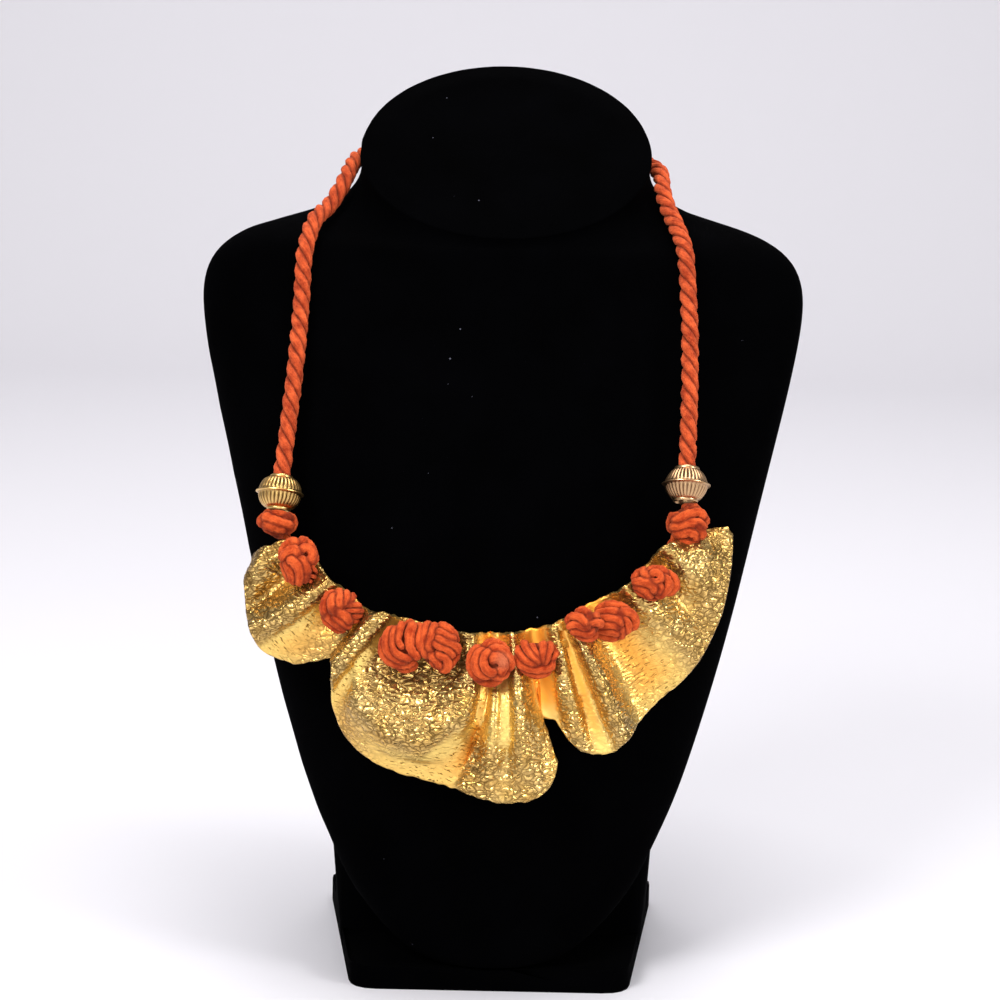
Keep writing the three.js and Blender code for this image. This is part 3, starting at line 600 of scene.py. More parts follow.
# Brass turned and pressed, gold plated and aged: satin crests that fade softly into brown tarnish. The
# scratches of the turning tool are finer than a pixel, and are drawn coarser so that they break the shine.
@dataclass(frozen=True)
class AntiqueGold:
    """Pale antique gold on turned or fluted pieces: satin crests and brown tarnish in the grooves."""

    name: str = "satin_antique_gold_plate"
    crest: str = "cba67a"
    groove: str = "8c6a4e"
    metallic: float = 1.0
    roughness: float = 0.27
    polish: float = 0.08
    dullness: float = 0.16
    tarnish_mm: float = 2.2
    tarnish_share: float = 0.6
    scratch_mm: float = 0.3
    scratch_depth_mm: float = 0.05
    scratch_bump: float = 0.15

    def material(self) -> bpy.types.Material:
        """Build the finish, with its tarnish where the mesh's groove value says.

        Returns:
            The material.
        """
        finish, tree = bare_finish(self.name)
        place = add_node(tree, "ShaderNodeTexCoord").outputs["Object"]
        groove = add_node(tree, "ShaderNodeAttribute", attribute_name="groove").outputs["Fac"]
        patch, scratch = (
            add_node(tree, "ShaderNodeTexNoise",
                     {"Vector": place, "Scale": 1 / (size * MM), "Detail": detail}).outputs["Fac"]
            for size, detail in ((self.tarnish_mm, 4.0), (self.scratch_mm, 2.0)))
        worn = add_node(tree, "ShaderNodeMath", {0: patch, 1: groove}, operation="MULTIPLY").outputs[0]
        dirt = add_node(tree, "ShaderNodeMath", {0: worn, 1: self.tarnish_share, 2: groove},
                        operation="MULTIPLY_ADD", use_clamp=True).outputs[0]
        colour = add_node(tree, "ShaderNodeMix", {
            "Factor": dirt, MIX_UNDER: linear(self.crest), MIX_OVER: linear(self.groove)},
            data_type="RGBA").outputs[MIXED]
        rough = add_node(tree, "ShaderNodeMapRange", {
            "Value": patch, "To Min": self.roughness - self.polish,
            "To Max": self.roughness + self.dullness}).outputs["Result"]
        bump = add_node(tree, "ShaderNodeBump", {
            "Height": scratch, "Strength": self.scratch_bump,
            "Distance": self.scratch_depth_mm * MM}).outputs["Normal"]
        shader = add_node(tree, "ShaderNodeBsdfPrincipled", {
            "Base Color": colour, "Roughness": rough, "Normal": bump, "Metallic": self.metallic})
        add_node(tree, "ShaderNodeOutputMaterial", {"Surface": shader.outputs[0]})
        return finish


# Dyed cotton yarn, twisted into plies: no shine, soft shade round each ply, partly from the light and partly painted
# into the colour where the plies and turns press together, and a fuzz that catches light at the edges. Its yarns are
# about 0.4 mm thick, and are drawn coarser so that they show.
@dataclass(frozen=True)
class CottonCord:
    """Dyed cotton cord: fine yarns that run along the strand on a slant, matte, with a soft fuzz."""

    name: str = "dyed_twisted_cotton"
    lit: str = "e0602c"
    shade: str = "9c2f0e"
    # Painted shade: the darker colour laid where the cord turns into its piece or lies close to another turn.
    crease_shade: str = "70200c"
    worn: str = "cc7550"
    fuzz_glow: str = "ff9a70"
    yarn_mm: float = 0.75
    slant: float = 0.35
    yarn_stretch: float = 0.22
    fuzz_mm: float = 0.5
    patch_mm: float = 3.5
    patch_share: float = 0.6
    tint_range: tuple[float, float] = (0.85, 1.35)
    crease_shade_range: tuple[float, float] = (0.25, 1.05)
    yarn_depth_mm: float = 0.45
    roughness: float = 0.92
    specular: float = 0.15
    sheen: float = 0.25
    sheen_roughness: float = 0.4

    def material(self) -> bpy.types.Material:
        """Build the finish on the strand's own map, with painted shade in its creases and wear where the mesh's
        values say.

        Returns:
            The material.
        """
        finish, tree = bare_finish(self.name)
        place = add_node(tree, "ShaderNodeTexCoord").outputs["Object"]
        run = add_node(tree, "ShaderNodeUVMap", uv_map="strand").outputs["UV"]
        slanted = add_node(tree, "ShaderNodeMapping", {
            "Vector": run, "Rotation": (0, 0, self.slant), "Scale": (1.0, self.yarn_stretch, 1.0)}).outputs[0]
        yarn = add_node(tree, "ShaderNodeTexNoise", {
            "Vector": slanted, "Scale": 1 / (self.yarn_mm * MM), "Detail": 3.0, "Roughness": 0.6}).outputs["Fac"]
        fuzz = add_node(tree, "ShaderNodeTexNoise", {
            "Vector": place, "Scale": 1 / (self.fuzz_mm * MM), "Detail": 4.0, "Roughness": 0.7}).outputs["Fac"]
        patch = add_node(tree, "ShaderNodeTexNoise", {
            "Vector": place, "Scale": 1 / (self.patch_mm * MM), "Detail": 2.0}).outputs["Fac"]
        crease_shade, worn = (add_node(tree, "ShaderNodeAttribute", attribute_name=label).outputs["Fac"]
                        for label in ("crease_shade", "worn"))
        wool = add_node(tree, "ShaderNodeMath", {0: yarn, 1: fuzz}, operation="ADD").outputs[0]
        mixed = add_node(tree, "ShaderNodeMath", {0: wool, 1: self.patch_share, 2: patch},
                         operation="MULTIPLY_ADD").outputs[0]
        tint, crease_shade_share = (
            add_node(tree, "ShaderNodeMapRange",
                     {"Value": value, "From Min": low, "From Max": high}).outputs["Result"]
            for value, (low, high) in ((mixed, self.tint_range), (crease_shade, self.crease_shade_range)))
        felted = add_node(tree, "ShaderNodeMath", {0: worn, 1: wool}, operation="MULTIPLY",
                          use_clamp=True).outputs[0]

        # The tint mix is the yarn's own mottling, the mix in creases is painted shade, and felted is real wear.
        colour = linear(self.shade)
        for share, over in ((tint, self.lit), (crease_shade_share, self.crease_shade), (felted, self.worn)):
            colour = add_node(tree, "ShaderNodeMix", {"Factor": share, MIX_UNDER: colour, MIX_OVER: linear(over)},
                              data_type="RGBA").outputs[MIXED]

        bump = add_node(tree, "ShaderNodeBump", {
            "Height": wool, "Strength": 1.0, "Distance": self.yarn_depth_mm * MM}).outputs["Normal"]
        shader = add_node(tree, "ShaderNodeBsdfPrincipled", {
            "Base Color": colour, "Normal": bump, "Roughness": self.roughness,
            "Specular IOR Level": self.specular, "Sheen Weight": self.sheen,
            "Sheen Roughness": self.sheen_roughness, "Sheen Tint": linear(self.fuzz_glow)})
        add_node(tree, "ShaderNodeOutputMaterial", {"Surface": shader.outputs[0]})
        return finish


# Nylon flock glued to a moulded form: it swallows nearly all light, so that only a trace of sheen and a few
# specks of lint show. Its pile is finer than a pixel, and is drawn coarser so that its edge looks soft.
@dataclass(frozen=True)
class Velvet:
    """Black flocked velvet: nearly no light comes back, but for a faint edge of pile and a speck of lint."""

    name: str = "black_flocked_velvet"
    pile: str = "000000"
    brushed: str = "020203"
    lint: str = "4c4c56"
    edge_glow: str = "50505a"
    pile_mm: float = 0.35
    pile_depth_mm: float = 0.2
    pile_bump: float = 0.5
    brushed_mm: float = 22.0
    lint_mm: float = 0.3
    lint_every_mm: float = 13.0
    roughness: float = 1.0
    specular: float = 0.01
    sheen: float = 0.004
    sheen_roughness: float = 0.3

    def material(self) -> bpy.types.Material:
        """Build the finish.

        Returns:
            The material.
        """
        finish, tree = bare_finish(self.name)
        place = add_node(tree, "ShaderNodeTexCoord").outputs["Object"]
        stroke, pile = (
            add_node(tree, "ShaderNodeTexNoise",
                     {"Vector": place, "Scale": 1 / (size * MM), "Detail": detail}).outputs["Fac"]
            for size, detail in ((self.brushed_mm, 4.0), (self.pile_mm, 2.0)))
        spots = add_node(tree, "ShaderNodeTexVoronoi", {
            "Vector": place, "Scale": 1 / (self.lint_every_mm * MM)}).outputs["Distance"]
        speck = add_node(tree, "ShaderNodeMath", {0: spots, 1: self.lint_mm / self.lint_every_mm},
                         operation="LESS_THAN").outputs[0]

        colour = linear(self.pile)
        for share, over in ((stroke, self.brushed), (speck, self.lint)):
            colour = add_node(tree, "ShaderNodeMix", {"Factor": share, MIX_UNDER: colour, MIX_OVER: linear(over)},
                              data_type="RGBA").outputs[MIXED]

        bump = add_node(tree, "ShaderNodeBump", {
            "Height": pile, "Strength": self.pile_bump, "Distance": self.pile_depth_mm * MM}).outputs["Normal"]
        shader = add_node(tree, "ShaderNodeBsdfPrincipled", {
            "Base Color": colour, "Normal": bump, "Roughness": self.roughness,
            "Specular IOR Level": self.specular, "Sheen Weight": self.sheen,
            "Sheen Roughness": self.sheen_roughness, "Sheen Tint": linear(self.edge_glow)})
        add_node(tree, "ShaderNodeOutputMaterial", {"Surface": shader.outputs[0]})
        return finish


# The studio


class Softbox(NamedTuple):
    """A square soft light: its name, place, width, power in watts, and what it faces if not the necklace."""

    name: str
    place: tuple[float, float, float]
    width: float
    watts: float
    aim: tuple[float, float, float] | None = None


SOFTBOXES = [
    Softbox("key_softbox", (-0.6, -0.85, 1.0), 0.5, 13.0),
    Softbox("fill_softbox", (0.95, -0.6, 0.6), 0.35, 6.0),
    Softbox("top_softbox", (0.1, -0.1, 1.25), 0.6, 8.0),
    Softbox("back_softbox", (0.0, 0.6, 1.2), 0.8, 4.0),
    Softbox("front_panel", (0.1, -1.6, 0.45), 1.3, 7.5),
    Softbox("backdrop_softbox", (0.0, 1.0, 1.1), 1.3, 3.4, aim=(0.0, 1.5, 0.15)),
]


@dataclass
class Studio:
    """The camera at the photograph's angle, a pale floor that sweeps up behind, and soft lights."""

    aim: Vector = field(default_factory=lambda: Vector((0.0, -0.015, 0.163)))
    distance: float = 1.2
    elevation: float = 12.0
    roll: float = 1.2
    lens_mm: float = 125.2
    sensor_mm: float = 36.0
    sideways_shift: float = 0.001
    floor_half: float = 2.0
    sweep_y: float = 1.15
    sweep_radius: float = 0.4
    sweep_height: float = 1.5
    sweep_steps: int = 12
    paper: str = "dad8dd"
    paper_roughness: float = 0.9
    air: str = "f4f2f5"
    air_strength: float = 0.36

    def camera(self) -> None:
        """Place the camera on the level of the photograph's, with its slight roll."""
        tilt, roll = math.radians(self.elevation), math.radians(self.roll)
        ahead = Vector((0, math.cos(tilt), -math.sin(tilt)))
        right = Vector((1, 0, 0))
        up = right.cross(ahead)
        turned_right = right * math.cos(roll) + up * math.sin(roll)
        turned_up = up * math.cos(roll) - right * math.sin(roll)
        place = Matrix((turned_right, turned_up, -ahead)).transposed().to_4x4()
        place.translation = self.aim - ahead * self.distance
        data = bpy.data.cameras.new("photo_camera")
        data.lens = self.lens_mm
        data.sensor_width = self.sensor_mm
        data.shift_x = self.sideways_shift
        camera = bpy.data.objects.new("photo_camera", data)
        camera.matrix_world = place
        bpy.context.scene.collection.objects.link(camera)
        bpy.context.scene.camera = camera

    def floor(self) -> None:
        """Model the pale floor and the sweep behind it."""
        profile = [(-self.floor_half, 0.0), (self.sweep_y, 0.0)]
        for i in range(1, self.sweep_steps + 1):
            angle = i / self.sweep_steps * math.pi / 2
            profile.append((self.sweep_y + math.sin(angle) * self.sweep_radius,
                            self.sweep_radius - math.cos(angle) * self.sweep_radius))
        profile.append((self.sweep_y + self.sweep_radius, self.sweep_height))
        points = [(side * self.floor_half, y, z) for y, z in profile for side in (-1, 1)]
        faces = [(i, i + 1, i + 3, i + 2) for i in range(0, 2 * len(profile) - 2, 2)]
        floor = mesh_piece("studio_floor", np.array(points), faces)
        # Background paper from the roll: an even, pale ground with no gloss.
        paper, tree = bare_finish("matte_white_paper")
        shader = add_node(tree, "ShaderNodeBsdfPrincipled", {
            "Base Color": linear(self.paper), "Roughness": self.paper_roughness})
        add_node(tree, "ShaderNodeOutputMaterial", {"Surface": shader.outputs[0]})
        floor.data.materials.append(paper)

    def hang(self, softbox: Softbox) -> None:
        """Hang one soft white light.

        Args:
            softbox: the light.
        """
        data = bpy.data.lights.new(softbox.name, "AREA")
        data.size = softbox.width
        data.energy = softbox.watts
        lamp = bpy.data.objects.new(softbox.name, data)
        lamp.location = softbox.place
        ahead = Vector(softbox.aim or self.aim) - Vector(softbox.place)
        lamp.rotation_euler = ahead.to_track_quat("-Z", "Y").to_euler()
        bpy.context.scene.collection.objects.link(lamp)

    def build(self) -> None:
        """Set up the camera, the floor, the lights and the air around them."""
        self.camera()
        self.floor()
        for softbox in SOFTBOXES:
            self.hang(softbox)
        world = bpy.data.worlds.new("studio_air")
        world.use_nodes = True
        air = world.node_tree.nodes["Background"]
        air.inputs["Color"].default_value = linear(self.air)
        air.inputs["Strength"].default_value = self.air_strength
        bpy.context.scene.world = world
        bpy.context.scene.view_settings.view_transform = "Standard"


# The bib


class Rib(NamedTuple):
    """A fold's line from the neckline to the hem.

    Places are shares of the bib's width and drop from its upper left. top, mid and hem are depths as shares
    of the fold depth, and mid is reached at the share mid_at. bow moves the middle aside. grain and
    hem_grain say how crackled the skin is above and below the middle.
    """

    name: str
    top_x: float
    top_z: float
    hem_x: float
    hem_z: float
    top: float
    mid_at: float
    mid: float
    hem: float
    bow: float
    grain: float
    hem_grain: float


BIB_RIBS = [
    # name, top_x, top_z, hem_x, hem_z, top, mid_at, mid, hem, bow, grain, hem_grain
    Rib("left_corner", 0.022, 0.1, 0.006, 0.165, 0.45, 0.5, 0.5, 0.45, 0, 1, 1),
    Rib("left_lip", 0.055, 0.07, 0.002, 0.215, 0.75, 0.5, 0.85, 0.6, 0, 1, 1),
    Rib("left_brow", 0.098, 0.052, 0.002, 0.26, 0.6, 0.5, 0.7, 0.6, 0, 1, 1),
    Rib("valley_one", 0.139, 0.1, 0.004, 0.31, 0, 0.6, 0.3, 0.5, 0.01, 0.7, 1),
    Rib("ridge_one", 0.178, 0.19, 0.012, 0.37, 0.8, 0.5, 0.98, 0.9, 0.01, 1, 1),
    Rib("brow_one", 0.19, 0.203, 0.018, 0.4, 0.75, 0.5, 0.95, 0.85, 0.01, 1, 1),
    Rib("under_one", 0.2, 0.215, 0.04, 0.458, 0.5, 0.5, 0.5, 0.35, 0.01, 0.15, 0.25),
    Rib("valley_two", 0.224, 0.25, 0.112, 0.5, 0, 0.65, 0.3, 0.2, 0, 0.6, 0.6),
    Rib("left_notch", 0.258, 0.3, 0.179, 0.475, 0.45, 0.5, 0.4, 0.3, 0, 0.8, 0.8),
    Rib("ridge_two", 0.28, 0.303, 0.182, 0.5, 0.9, 0.5, 1, 0.9, 0, 1, 1),
    Rib("brow_two", 0.3, 0.312, 0.181, 0.55, 0.85, 0.5, 0.98, 0.85, 0, 1, 1),
    Rib("under_two", 0.312, 0.322, 0.18, 0.62, 0.5, 0.55, 0.62, 0.35, 0, 0.1, 0.2),
    Rib("bowl_left", 0.334, 0.335, 0.204, 0.75, 0.1, 0.7, 0.75, 0.05, -0.012, 0.9, 0.8),
    Rib("bowl_middle", 0.37, 0.35, 0.275, 0.86, 0, 0.76, 0.86, 0.12, 0, 1, 0.3),
    Rib("bowl_right", 0.412, 0.365, 0.335, 0.898, 0.1, 0.76, 0.9, 0.12, 0.012, 1, 0.2),
    Rib("ridge_three", 0.458, 0.38, 0.375, 0.916, 0.6, 0.55, 1, 0.1, 0.04, 1, 0.2),
    Rib("groove_four", 0.482, 0.382, 0.42, 0.938, 0.2, 0.5, 0.3, 0.05, 0.03, 0.15, 0.3),
    Rib("valley_four", 0.5, 0.384, 0.452, 0.958, 0, 0.55, 0.45, 0.25, 0.018, 0.35, 1),
    Rib("swell_four", 0.517, 0.386, 0.49, 0.982, 0.15, 0.6, 0.8, 0.35, 0.008, 0.5, 1),
    Rib("crease_four", 0.533, 0.384, 0.534, 0.994, 0.25, 0.6, 0.5, 0.4, 0.004, 0.25, 0.7),
    Rib("ridge_four", 0.547, 0.38, 0.578, 0.986, 0.8, 0.5, 0.95, 0.6, 0, 0.8, 0.9),
    Rib("slope_four", 0.558, 0.378, 0.62, 0.95, 0.45, 0.5, 0.65, 0.4, -0.004, 0.8, 0.8),
    Rib("lobe_edge", 0.568, 0.376, 0.638, 0.868, 0.2, 0.5, 0.35, 0.3, -0.008, 0.25, 0.6),
    Rib("notch_left", 0.578, 0.373, 0.611, 0.765, 0.1, 0.5, 0.17, 0.22, -0.006, 0.05, 0.1),
    Rib("notch_shoulder", 0.588, 0.37, 0.593, 0.71, 0.03, 0.5, 0.06, 0.1, 0, 0, 0),
    Rib("valley_five", 0.6, 0.366, 0.614, 0.688, 0, 0.5, 0, 0.05, 0, 0, 0),
    Rib("notch_right", 0.612, 0.36, 0.637, 0.705, 0.1, 0.5, 0.15, 0.2, 0, 0, 0),
    Rib("strip_five", 0.626, 0.352, 0.662, 0.767, 0.4, 0.5, 0.5, 0.35, 0, 0.7, 0.8),
    Rib("strip_edge", 0.635, 0.346, 0.692, 0.81, 0.45, 0.5, 0.6, 0.5, 0, 0.8, 0.9),
    Rib("groove_five", 0.645, 0.338, 0.737, 0.822, 0.15, 0.5, 0.1, 0.3, 0, 0.1, 0.2),
    Rib("ridge_five", 0.66, 0.325, 0.78, 0.775, 0.9, 0.5, 1, 0.85, 0.004, 1, 1),
    Rib("slope_five", 0.674, 0.312, 0.808, 0.703, 0.5, 0.5, 0.5, 0.3, 0.008, 0.5, 0.45),
    Rib("valley_six", 0.7, 0.285, 0.855, 0.62, 0, 0.55, 0.15, 0.2, 0.008, 0.25, 0.3),
    Rib("slope_six", 0.742, 0.25, 0.897, 0.56, 0.2, 0.5, 0.45, 0.3, 0.006, 0.5, 0.4),
    Rib("ridge_six", 0.778, 0.215, 0.93, 0.49, 0.8, 0.4, 0.8, 0.4, 0.006, 0.9, 0.9),
    Rib("valley_seven", 0.822, 0.14, 0.958, 0.405, 0.05, 0.55, 0.4, 0.45, 0.006, 0.7, 1),
    Rib("ridge_seven", 0.854, 0.072, 0.985, 0.275, 0.75, 0.5, 0.85, 0.6, 0, 0.9, 1),
    Rib("right_field", 0.888, 0.055, 0.996, 0.16, 0.35, 0.5, 0.75, 0.65, 0, 0.9, 1),
    Rib("valley_eight", 0.93, 0.02, 0.999, 0.1, 0.15, 0.5, 0.4, 0.55, 0, 0.9, 1),
    Rib("right_corner", 0.99, 0.004, 1, 0.03, 0.5, 0.5, 0.5, 0.5, 0, 0.9, 0.9),
]

# How far the smooth faces are streaked with dashes, from one rib to the next.
STREAKED_RIBS = {"groove_four": 1, "valley_four": 0, "ridge_five": 0, "slope_five": 0.8, "slope_six": 0.8,
                 "ridge_six": 0, "ridge_seven": 0, "right_field": 0.8}

# Farther than any pebble's centre, in pebbles.
FAR = 9.0
# Any large numbers without a common measure do to scatter the pebbles' centres across and down the folds.
SCATTER_ACROSS = (127.1, 311.7, 43758.5)
SCATTER_DOWN = (269.5, 183.3, 22578.1)


def table_curve(values: np.ndarray, at: np.ndarray) -> np.ndarray:
    """Draw a curve through a table's rows with no overshoot: it is level at each peak and valley.

    Args:
        values: one value for each row.
        at: the places along the rows, as row numbers with shares.

    Returns:
        The value at each place.
    """
    slopes = np.diff(values)
    tangents = np.empty_like(values)
    tangents[0], tangents[-1] = slopes[0], slopes[-1]
    before, after = slopes[:-1], slopes[1:]
    total = np.where(before + after == 0, 1, before + after)
    tangents[1:-1] = np.where(before * after <= 0, 0, 2 * before * after / total)
    i = np.minimum(np.floor(at).astype(int), len(values) - 2)
    t = at - i
    return (values[i] + t * t * (3 - 2 * t) * slopes[i] + t * (1 - t) ** 2 * tangents[i]
            - t * t * (1 - t) * tangents[i + 1])


def scattered(cell: np.ndarray, row: np.ndarray, numbers: tuple[float, float, float]) -> np.ndarray:
    """A share from 0 to 1 for each cell of a net, the same in each run."""
    return np.mod(np.sin(cell * numbers[0] + row * numbers[1]) * numbers[2], 1.0)


def lumps(points: np.ndarray, size: float) -> np.ndarray:
    """Soft lumps of a given size at each point of a grid, from about -1 to 1."""
    spots = points.reshape(-1, 3) / size
    return np.array([noise.noise(Vector(spot)) for spot in spots]).reshape(points.shape[:2])


def vertex_order(values: np.ndarray) -> np.ndarray:
    """Values by column and row, put in the order of a grid primitive's vertices."""
    return np.swapaxes(values[:, ::-1], 0, 1).reshape(values.shape[0] * values.shape[1], -1)


@dataclass
class Bib:
    """The ruffled cast bib: a sheet on ribs, with a crackled front and a rolled edge.

    A method's arrays have the sheet's columns first and its rows, from the neckline to the hem, next.
    """

    # The sheet and its place.
    width: float = 164.5 * MM
    drop: float = 93 * MM
    wall: float = 1.8 * MM
    fold_depth: float = 13 * MM
    wrap: float = 15 * MM
    lean: float = 12.0
    turn: float = 1.2
    aside: float = -3.4 * MM
    top_height: float = 162.4 * MM
    stand_off: float = 5.9 * MM
    chest_y: float = -54.95 * MM
    neckline_share: float = 0.38
    # Its grid, and how its folds and smooth faces are eased.
    columns: int = 370
    rows: int = 120
    hem_lag: float = 0.45
    calm_rounds: int = 6
    calm_folds: int = 400
    calm_share: float = 0.25
    calm_grain: float = 2.5
    # Where it is crackled, where its hollows get the painted reflection glow, and where it is streaked.
    grain_delay: float = 0.04
    grain_blend: float = 0.1
    hollow_gain: float = 0.95
    hollow_level: float = 1.15
    hollow_fall: float = 2.3
    hollow_smoothness: float = 1.35
    hollow_least: float = 0.15
    hem_fade: float = 5.0
    hem_least: float = 0.25
    dash_level: float = 1.25
    dash_fall: float = 1.6
    dash_from: float = 0.3
    dash_gain: float = 4.0
    # Its pebbles.
    measured_row: float = 0.6
    pebble_across: float = 2.3 * MM
    pebble_down: float = 1.75 * MM
    pebble_depth: float = 0.3 * MM
    pebble_slack: float = 0.5
    pebble_gain: float = 1.6
    pebble_roundness: float = 0.6
    pebble_level: float = 0.8
    pebble_spread: float = 0.5
    # Its edge and its lumps.
    side_reach: float = 5 * MM
    edge_roll: float = 0.9 * MM
    edge_depth: float = 0.8
    edge_reach: float = 4.0
    lump: float = 0.5 * MM
    lump_size: float = 7 * MM
    fine_size: float = 0.42
    fine_share: float = 0.55
    plain_lumps: float = 0.25
    rim_wander: float = 0.7 * MM
    crisp_above: float = 75.0

    def frame_matrix(self) -> Matrix:
        """The bib's own frame: X across, Y towards the chest, Z up, from the middle of its upper edge.

        Returns:
            The matrix from that frame to the object's.
        """
        lean = math.radians(self.lean)
        y = self.chest_y - self.stand_off + self.neckline_share * self.drop * math.sin(lean)
        turned = Matrix.Rotation(-lean, 4, "X") @ Matrix.Rotation(math.radians(-self.turn), 4, "Y")
        return Matrix.Translation((self.aside, y, self.top_height)) @ turned

    def curl(self, x: float | np.ndarray) -> float | np.ndarray:
        """How far the sheet curls round the chest at a place across it."""
        return self.wrap * (x / (self.width / 2)) ** 2

    def columns_at(self, names: tuple[str, ...], rib: np.ndarray) -> dict[str, np.ndarray]:
        """Read columns of the rib table.

        Args:
            names: the columns' names.
            rib: places along the table.

        Returns:
            For each name its values at the places, ready to spread over the rows.
        """
        return {name: table_curve(np.array([getattr(row, name) for row in BIB_RIBS], dtype=float), rib)[:, None]
                for name in names}

    def surface(self, rib: np.ndarray, down: np.ndarray) -> np.ndarray:
        """Lay out the middle surface in the bib's own frame.

        Args:
            rib: places along the table, one for each column of the sheet.
            down: shares of the way from the neckline to the hem, one for each row.

        Returns:
            The surface's points.
        """
        row = self.columns_at(Rib._fields[1:], rib)
        t = down[None, :]
        x = (row["top_x"] + (row["hem_x"] - row["top_x"]) * t + row["bow"] * 4 * t * (1 - t) - 0.5) * self.width
        z = -(row["top_z"] + (row["hem_z"] - row["top_z"]) * t) * self.drop
        upper = t < row["mid_at"]
        share = np.where(upper, t / row["mid_at"], (t - row["mid_at"]) / (1 - row["mid_at"]))
        eased = share * share * (3 - 2 * share)
        ease = np.where(upper, eased, (1 - self.hem_lag) * eased + self.hem_lag * share)
        depth = np.where(upper, row["top"] + (row["mid"] - row["top"]) * ease,
                         row["mid"] + (row["hem"] - row["mid"]) * ease)
        return np.stack([x, self.curl(x) - depth * self.fold_depth, z], axis=-1)

    def grain(self, rib: np.ndarray, down: np.ndarray) -> np.ndarray:
        """Say how crackled the skin is.

        Args:
            rib: places along the table, one for each column.
            down: shares of the way down, one for each row.

        Returns:
            A share for each place.
        """
        row = self.columns_at(("grain", "hem_grain", "mid_at"), rib)
        share = np.clip((down[None, :] - row["mid_at"] - self.grain_delay) / self.grain_blend, 0, 1)
        return row["grain"] + (row["hem_grain"] - row["grain"]) * share

    def tones(self, rib: np.ndarray, down: np.ndarray, grain: np.ndarray) -> tuple[np.ndarray, np.ndarray]:
        """Say how much painted glow each place's hollow takes, and how far its smooth face is streaked with dashes.

        Args:
            rib: places along the table, one for each column.
            down: shares of the way down, one for each row.
            grain: how crackled each place is.

        Returns:
            A share of painted glow and a share of dashes for each place.
        """
        row = self.columns_at(("top", "mid", "hem", "mid_at"), rib)
        t = down[None, :]
        depth = np.where(t < row["mid_at"], row["top"] + (row["mid"] - row["top"]) * t / row["mid_at"],
                         row["mid"] + (row["hem"] - row["mid"]) * (t - row["mid_at"]) / (1 - row["mid_at"]))
        # Painted reflection: the deeper, smoother and higher a place lies in the folds, the more glow of warmer gold
        # it is painted with.
        hollow = (self.hollow_gain * np.clip(self.hollow_level - depth * self.hollow_fall, 0, 1)
                  * np.clip(self.hollow_smoothness - grain, self.hollow_least, 1)
                  * np.clip((1 - t) * self.hem_fade, self.hem_least, 1))
        names = [ridge.name for ridge in BIB_RIBS]
        streaks = np.interp(rib, [names.index(name) for name in STREAKED_RIBS], list(STREAKED_RIBS.values()))
        dashed = (streaks[:, None] * np.clip(self.dash_level - grain * self.dash_fall, 0, 1)
                  * np.clip((t - self.dash_from) * self.dash_gain, 0, 1))
        return hollow, dashed

    def skin(self, middle: np.ndarray) -> tuple[np.ndarray, np.ndarray]:
        """Measure each point's place on the sheet, in metres.

        Args:
            middle: the middle surface.

        Returns:
            The places across the folds, and down from the neckline.
        """
        steps = np.linalg.norm(np.diff(middle, axis=0), axis=2)
        across = np.concatenate([[0], np.cumsum(steps[:, int(middle.shape[1] * self.measured_row)])])
        falls = np.linalg.norm(np.diff(middle, axis=1), axis=2)
        down = np.concatenate([np.zeros((middle.shape[0], 1)), np.cumsum(falls, axis=1)], axis=1)
        return np.broadcast_to(across[:, None], down.shape), down

    def relief(self, across: np.ndarray, down: np.ndarray) -> np.ndarray:
        """Work out the pebbles' height, from 0 at the bottom between pebbles to 1 on a crest.

        The pebbles stand in rows along the hem, each row half a pebble on from the last, with some slack.

        Args:
            across: places across the folds.
            down: places down the folds.

        Returns:
            The height at each place.
        """
        u = across / self.pebble_across
        v = down / self.pebble_down
        near = np.full(u.shape, FAR)
        second = np.full(u.shape, FAR)
        for row_step in (-1, 0, 1):
            row = np.floor(v) + row_step
            shift = np.mod(row, 2) * 0.5
            for step in (-1, 0, 1):
                cell = np.floor(u - shift) + step
                aside = (scattered(cell, row, SCATTER_ACROSS) - 0.5) * 2 * self.pebble_slack
                below = (scattered(cell, row, SCATTER_DOWN) - 0.5) * 2 * self.pebble_slack
                away = np.hypot(u - (cell + 0.5 + shift + aside), v - (row + 0.5 + below))
                second = np.minimum(second, np.maximum(near, away))
                near = np.minimum(near, away)
        return np.clip((second - near) * self.pebble_gain, 0, 1) ** self.pebble_roundness

    def calm(self, middle: np.ndarray, grain: np.ndarray) -> np.ndarray:
        """Even out the depth of the smooth faces, and find the way out of the sheet.

        Args:
            middle: the middle surface, whose depth changes.
            grain: how crackled each place is.

        Returns:
            The way to the sheet's back at each place, itself evened out.
        """
        share = np.clip(1 - self.calm_grain * grain, 0, 1) * self.calm_share
        for _ in range(self.calm_folds):
            beside = np.pad(middle[..., 1], ((1, 1), (0, 0)), mode="edge")
            middle[..., 1] += share * (beside[:-2] + beside[2:] - 2 * middle[..., 1])
        normal = unit(np.cross(np.gradient(middle, axis=0), np.gradient(middle, axis=1)))
        for _ in range(self.calm_rounds):
            wide = np.pad(normal, ((1, 1), (1, 1), (0, 0)), mode="edge")
            normal = unit(wide[:-2, 1:-1] + wide[2:, 1:-1] + wide[1:-1, :-2] + wide[1:-1, 2:] + 2 * normal)
        return normal

    def edge_distance(self, middle: np.ndarray, rib: np.ndarray, down: np.ndarray) -> np.ndarray:
        """Measure how far each place lies from the sheet's nearest edge.

        Args:
            middle: the middle surface.
            rib: places along the table, one for each column.
            down: shares of the way down, one for each row.

        Returns:
            The distance at each place.
        """
        lengths = np.linalg.norm(middle[:, -1] - middle[:, 0], axis=1)[:, None]
        side = np.minimum(rib, len(BIB_RIBS) - 1 - rib)[:, None] * self.side_reach
        return np.minimum(np.minimum(down, 1 - down)[None, :] * lengths, side)

